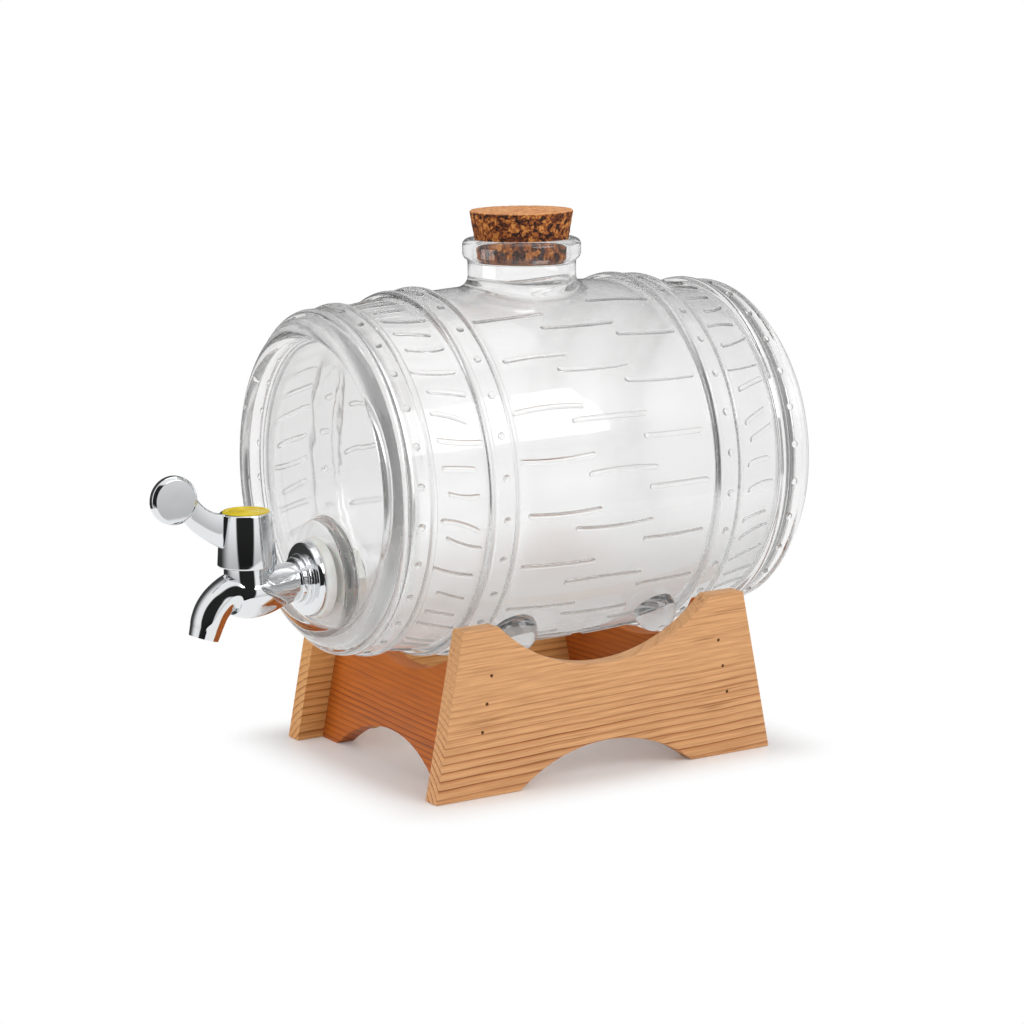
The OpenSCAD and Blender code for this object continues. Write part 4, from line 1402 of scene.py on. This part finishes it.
    def arm(self) -> Piece:
        """The lever's arm: straight lines from its hollow upper edge to its lower one, and as thick.

        Returns:
            Its skin.
        """
        paddle_y, paddle_z = self.handle_y - self.lever_reach, self.cap_top + self.lever_rise
        root_z = self.cap_top - self.lever_root
        hollow = np.array([self.handle_y - self.hollow_out, self.cap_top + self.hollow_r])
        first = math.degrees(math.asin((self.cap_top_r / 2 - self.hollow_out) / self.hollow_r))
        upper = arc(hollow, self.hollow_r, -90 - first, -90 - 62, 18)
        stations = [(self.handle_y - self.cap_top_r / 2, root_z)]
        stations.append((self.handle_y - self.cap_low_r, root_z + 0.6))
        stations.append((self.handle_y - 0.72 * self.lever_reach, self.cap_top - 0.45 * self.lever_root))
        stations.append((paddle_y + 0.35 * self.paddle_r, paddle_z - 0.8 * self.paddle_r))
        lower = smooth_path(stations, 6)
        half = self.arm_t / 2
        corners = [(half, lower), (half, upper), (-half, upper), (-half, lower)]
        rings = np.stack([np.insert(line, 0, x, axis=1) for x, line in corners], axis=1)
        arm = skin("arm", rings)
        ease_edges(arm, 0.8)
        return arm

    def handle(self) -> Piece:
        """The handle: a hollow tapered cap with a well for its screw, an arm and a round bevelled paddle.

        Returns:
            The piece.
        """
        hub_z = self.cap_z + self.cap_hollow
        drive_top = hub_z + self.drive_h
        web_top = drive_top + self.web_t
        floor_z = self.cap_top - self.index_deep
        corners = [(self.cap_low_r, self.cap_z, 0.7), (self.cap_top_r, self.cap_top, 1.0)]
        inner = [(self.index_r, self.cap_top), (self.index_r, floor_z), (self.well_r, floor_z)]
        inner += [(self.well_r, web_top), (self.screw_hole_r, web_top), (self.screw_hole_r, hub_z)]
        corners += [(radius, rise, 0.1) for radius, rise in inner]
        corners += [(self.cap_hollow_r, hub_z, 0.4), (self.cap_hollow_r, self.cap_z, 0.4)]
        axis = np.array([0.0, self.handle_y, 0.0])
        cap = turned("lever_handle", rounded(corners, looped=True), axis, Z_AXIS, 96, looped=True)
        half, face_r, pole = self.paddle_t / 2, self.paddle_r - 1.6, self.pole_r
        disc = [(pole, -half, 0), (face_r, -half, 0.5), (self.paddle_r, 1.3 - half, 0.7)]
        disc += [(self.paddle_r, half - 1.3, 0.7), (face_r, half, 0.5), (pole, half, 0)]
        paddle_at = (0.0, self.handle_y - self.lever_reach, self.cap_top + self.lever_rise)
        combine(cap, Join.ADD, self.arm(), turned("paddle", rounded(disc), paddle_at, X_AXIS, 72))
        corner_r, room_r = self.drive_w / math.sqrt(2), self.cap_hollow_r - 0.05
        drive = revolve(np.array([(corner_r, hub_z - 1), (corner_r, drive_top)]), axis, Z_AXIS, 4)
        eighth = Matrix.Rotation(math.radians(45), 3, "Z")
        drive = (drive - axis) @ np.array(eighth).T + axis
        room = [(room_r, self.cap_z - 1), (room_r, hub_z - 0.05)]
        combine(cap, Join.CUT, skin("drive", drive), turned("room", room, axis, Z_AXIS, 96))
        shade(cap, 42)
        return cap

    def index(self) -> Piece:
        """The disc on the cap: a raised rim, a lowered face, a moulded ring and a small crown.

        Returns:
            The piece.
        """
        base, top = low("index_disc")[2], high("index_disc")[2]
        reach = (high("index_disc")[0] - low("index_disc")[0]) / 2
        face = top - 0.45
        # Share of the reach, height and rounding of each corner from the rim to the crown
        corners = [(1.0, base, 0.2), (1.0, top, 0.35), (0.86, top, 0.2), (0.82, face, 0.2), (0.62, face, 0.2)]
        corners += [(0.58, top - 0.1, 0.15), (0.48, top - 0.1, 0.15), (0.44, face, 0.2), (0.24, face, 0.2)]
        corners += [(0.16, top - 0.05, 0.2)]
        rim = [(share * reach, rise, radius) for share, rise, radius in corners]
        outline = rounded([(1.0, base, 0), *rim, (0.6, top, 0)])
        disc = turned("index_plate", outline, (0.0, self.handle_y, 0.0), Z_AXIS, 96)
        shade(disc, 50)
        return disc

    def build(self) -> None:
        """Makes and dresses the casting, the handle and its disc, and dresses the valve's inner pieces."""
        chrome = ChromePlate("Chrome plate on cast zinc, bright").material()
        settle(self.body(), "barrel", chrome, "tap_body")
        settle(self.handle(), "handle", chrome, "tap_handle")
        yellow = Moulded("Yellow ABS, moulded", "E9D21E", "DDBE12", 0.3, 1.0, 0.03)
        settle(self.index(), "handle", yellow.material(), "index_disc")
        dress_nodes(Moulded("Acetal, turned", "EFEDE4", "E2DFD3", 0.35), "gland_nut", "valve_plug")
        rubber = Moulded("Nitrile rubber, moulded", "1B1B1C", "101011", 0.6)
        dress_nodes(rubber, "upper_sealing_ring", "lower_sealing_ring")
        dress_nodes(DrawnSteel("Steel screw, zinc plated", "B9BCC0"), "handle_screw")


def dress_nodes(finish: Finish, *nodes: str) -> None:
    """Gives CAD nodes that stay in view one finish.

    Args:
        finish: their finish.
        nodes: names of the CAD nodes.
    """
    material = finish.material()
    for node in nodes:
        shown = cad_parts[node]
        if not shown.data.materials:
            shown.data.materials.append(material)
        for slot in shown.material_slots:
            slot.material = material
        LOG.info("%s: CAD node dressed in %s", node, finish.name)


# Studio


def stand_at(thing: Piece, at_mm: Sequence[float], axes: Sequence[np.ndarray]) -> None:
    """Puts a camera or lamp in the scene.

    Args:
        thing: the camera or lamp.
        at_mm: its place.
        axes: its directions right, up and back, against the last of which it looks.
    """
    columns = np.eye(4)
    columns[:3] = np.stack([*axes, np.array(at_mm) * MM], axis=-1)
    thing.matrix_world = Matrix(columns.tolist())
    bpy.context.scene.collection.objects.link(thing)


@dataclass
class Studio:
    """A pale floor, softboxes above and beside the object and a camera at the photograph's angle."""

    lens_px: float = 2893.1
    image_px: float = 1024.0
    sensor_mm: float = 36.0
    camera_mm: tuple[float, float, float] = (1182.73, -731.16, 378.4)
    azimuth: float = 58.52
    elevation: float = 10.69
    roll: float = -0.594
    floor_mm: float = 470.0
    aim_mm: float = 120.0
    ambient: float = 0.7
    glass_bounces: int = 48

    def camera(self) -> None:
        """Sets up the camera: right and up in the picture come from azimuth, elevation and roll."""
        turn, climb, roll = (math.radians(v) for v in (self.azimuth, self.elevation, self.roll))
        right = np.array([math.cos(turn), math.sin(turn), 0.0])
        level = np.array([math.sin(turn), -math.cos(turn), 0.0])
        back = level * math.cos(climb) + Z_AXIS * math.sin(climb)
        up = np.cross(back, right)
        right, up = right * math.cos(roll) + up * math.sin(roll), up * math.cos(roll) - right * math.sin(roll)
        lens = bpy.data.cameras.new("camera")
        lens.sensor_width = self.sensor_mm
        lens.lens = self.lens_px / self.image_px * self.sensor_mm
        lens.clip_start, lens.clip_end = 0.01, 100.0
        eye = bpy.data.objects.new("camera", lens)
        stand_at(eye, self.camera_mm, (right, up, back))
        bpy.context.scene.camera = eye
        self.toward_camera = tuple(back)

    def floor(self) -> None:
        """Lays a round pale floor that keeps shadows and fades to white away from the object."""
        radius = np.linspace(30.0, self.floor_mm, 6)[:, None]
        turn = round_angles(96)[None, :]
        points = np.stack([radius * np.cos(turn), radius * np.sin(turn), 0 * radius * turn], axis=-1)
        count, around, _ = points.shape
        index = np.arange(count * around).reshape(count, around)
        inner, outer = index[:-1], index[1:]
        quads = np.stack([inner, outer, np.roll(outer, -1, 1), np.roll(inner, -1, 1)], axis=-1).reshape(-1, 4)
        mesh = bpy.data.meshes.new("floor")
        mesh.from_pydata((points.reshape(-1, 3) * MM).tolist(), [], quads.tolist() + [index[0].tolist()])
        floor = bpy.data.objects.new("floor", mesh)
        bpy.context.scene.collection.objects.link(floor)
        table = SatinTable("White table top, satin", *high("side_panel_right")[:2].tolist())
        mesh.materials.append(table.material())

    def room(self) -> None:
        """Sets the world: white for the camera, even light on the object, dark sides in mirrors and glass."""
        world = bpy.data.worlds.new("studio")
        bpy.context.scene.world = world
        world.use_nodes = True
        tree = world.node_tree
        tree.nodes.clear()
        path = add_node(tree, "LightPath").node.outputs
        way = add_node(tree, "TexCoord", output="Generated")
        ahead = {"operation": "DOT_PRODUCT", 1: self.toward_camera}
        facing = add_node(tree, "VectorMath", ahead, {0: way}, "Value")
        height = add_node(tree, "SeparateXYZ", links={0: way}, output="Z")
        # Mirrors see a dark room round the camera and behind the object, white between and a grey ground
        edge, core = (math.cos(math.radians(angle)) for angle in (42, 34))
        steps = [(facing, edge, core, 1.0, 0.02), (height, -0.3, 0.1, 0.55, 1.0)]
        steps.append((facing, -0.5, 0.4, 0.06, 1.0))
        mirrored = mask(tree, "MULTIPLY", "SMOOTHSTEP", steps)
        # Glass sees white behind the object, behind the camera and overhead. The dark between draws its edges
        ranges = ((facing, 0.0, -0.85), (facing, 0.45, 0.92), (height, 0.62, 0.97))
        through = mask(tree, "MAXIMUM", "SMOOTHSTEP", [(*step, 0.07, 1.0) for step in ranges])
        glossy, transmitted = path["Is Glossy Ray"], path["Is Transmission Ray"]
        number = {"data_type": "FLOAT"}
        shiny = add_node(tree, "Mix", number, {0: transmitted, 2: mirrored, 3: through})
        bounced = add_node(tree, "Math", {"operation": "MAXIMUM"}, {0: glossy, 1: transmitted})
        level = add_node(tree, "Mix", {**number, 2: self.ambient}, {0: bounced, 3: shiny})
        shown = add_node(tree, "Mix", {**number, 3: 1.0}, {0: path["Is Camera Ray"], 2: level})
        sky = add_node(tree, "Background", {"Color": linear("FFFFFF")}, {"Strength": shown})
        add_node(tree, "OutputWorld", links={"Surface": sky})

    def softbox(
        self, name: str, at_mm: Sequence[float], size_mm: Sequence[float], watts: float, mirrored: bool = True
    ) -> None:
        """Hangs a rectangular softbox that faces the middle of the object.

        Args:
            name: its name.
            at_mm: its place.
            size_mm: its width and height.
            watts: its power.
            mirrored: whether it shows in mirrors.
        """
        lamp = bpy.data.lights.new(name, "AREA")
        lamp.shape = "RECTANGLE"
        lamp.size, lamp.size_y = (value * MM for value in size_mm)
        lamp.energy = watts
        box = bpy.data.objects.new(name, lamp)
        box.visible_glossy = mirrored
        back = unit(np.array(at_mm) - self.aim_mm * Z_AXIS)
        side = unit(np.cross(Z_AXIS, back))
        stand_at(box, at_mm, (side, np.cross(back, side), back))

    def build(self) -> None:
        """Sets up camera, floor, world and softboxes."""
        self.camera()
        self.floor()
        self.room()
        self.softbox("key softbox", (1000.0, 250.0, 850.0), (800.0, 600.0), 5.5)
        self.softbox("low softbox", (-500.0, -1250.0, 280.0), (900.0, 500.0), 5.0, False)
        self.softbox("top softbox", (0.0, 150.0, 1500.0), (1000.0, 1000.0), 3.0)
        bpy.context.scene.view_settings.view_transform = "Standard"
        # Light that runs along inside the thick glass needs many reflections to come out again
        paths = bpy.context.scene.cycles
        paths.max_bounces = paths.transmission_bounces = paths.glossy_bounces = self.glass_bounces


def main() -> None:
    """Builds the dispenser and its studio."""
    logging.basicConfig(level=logging.INFO, format="%(name)s: %(message)s")
    Studio().build()
    for assembly in (Stand(), GlassBarrel(), CorkStopper(), TapFitting(), Tap()):
        assembly.build()


if __name__ == "__main__":
    main()
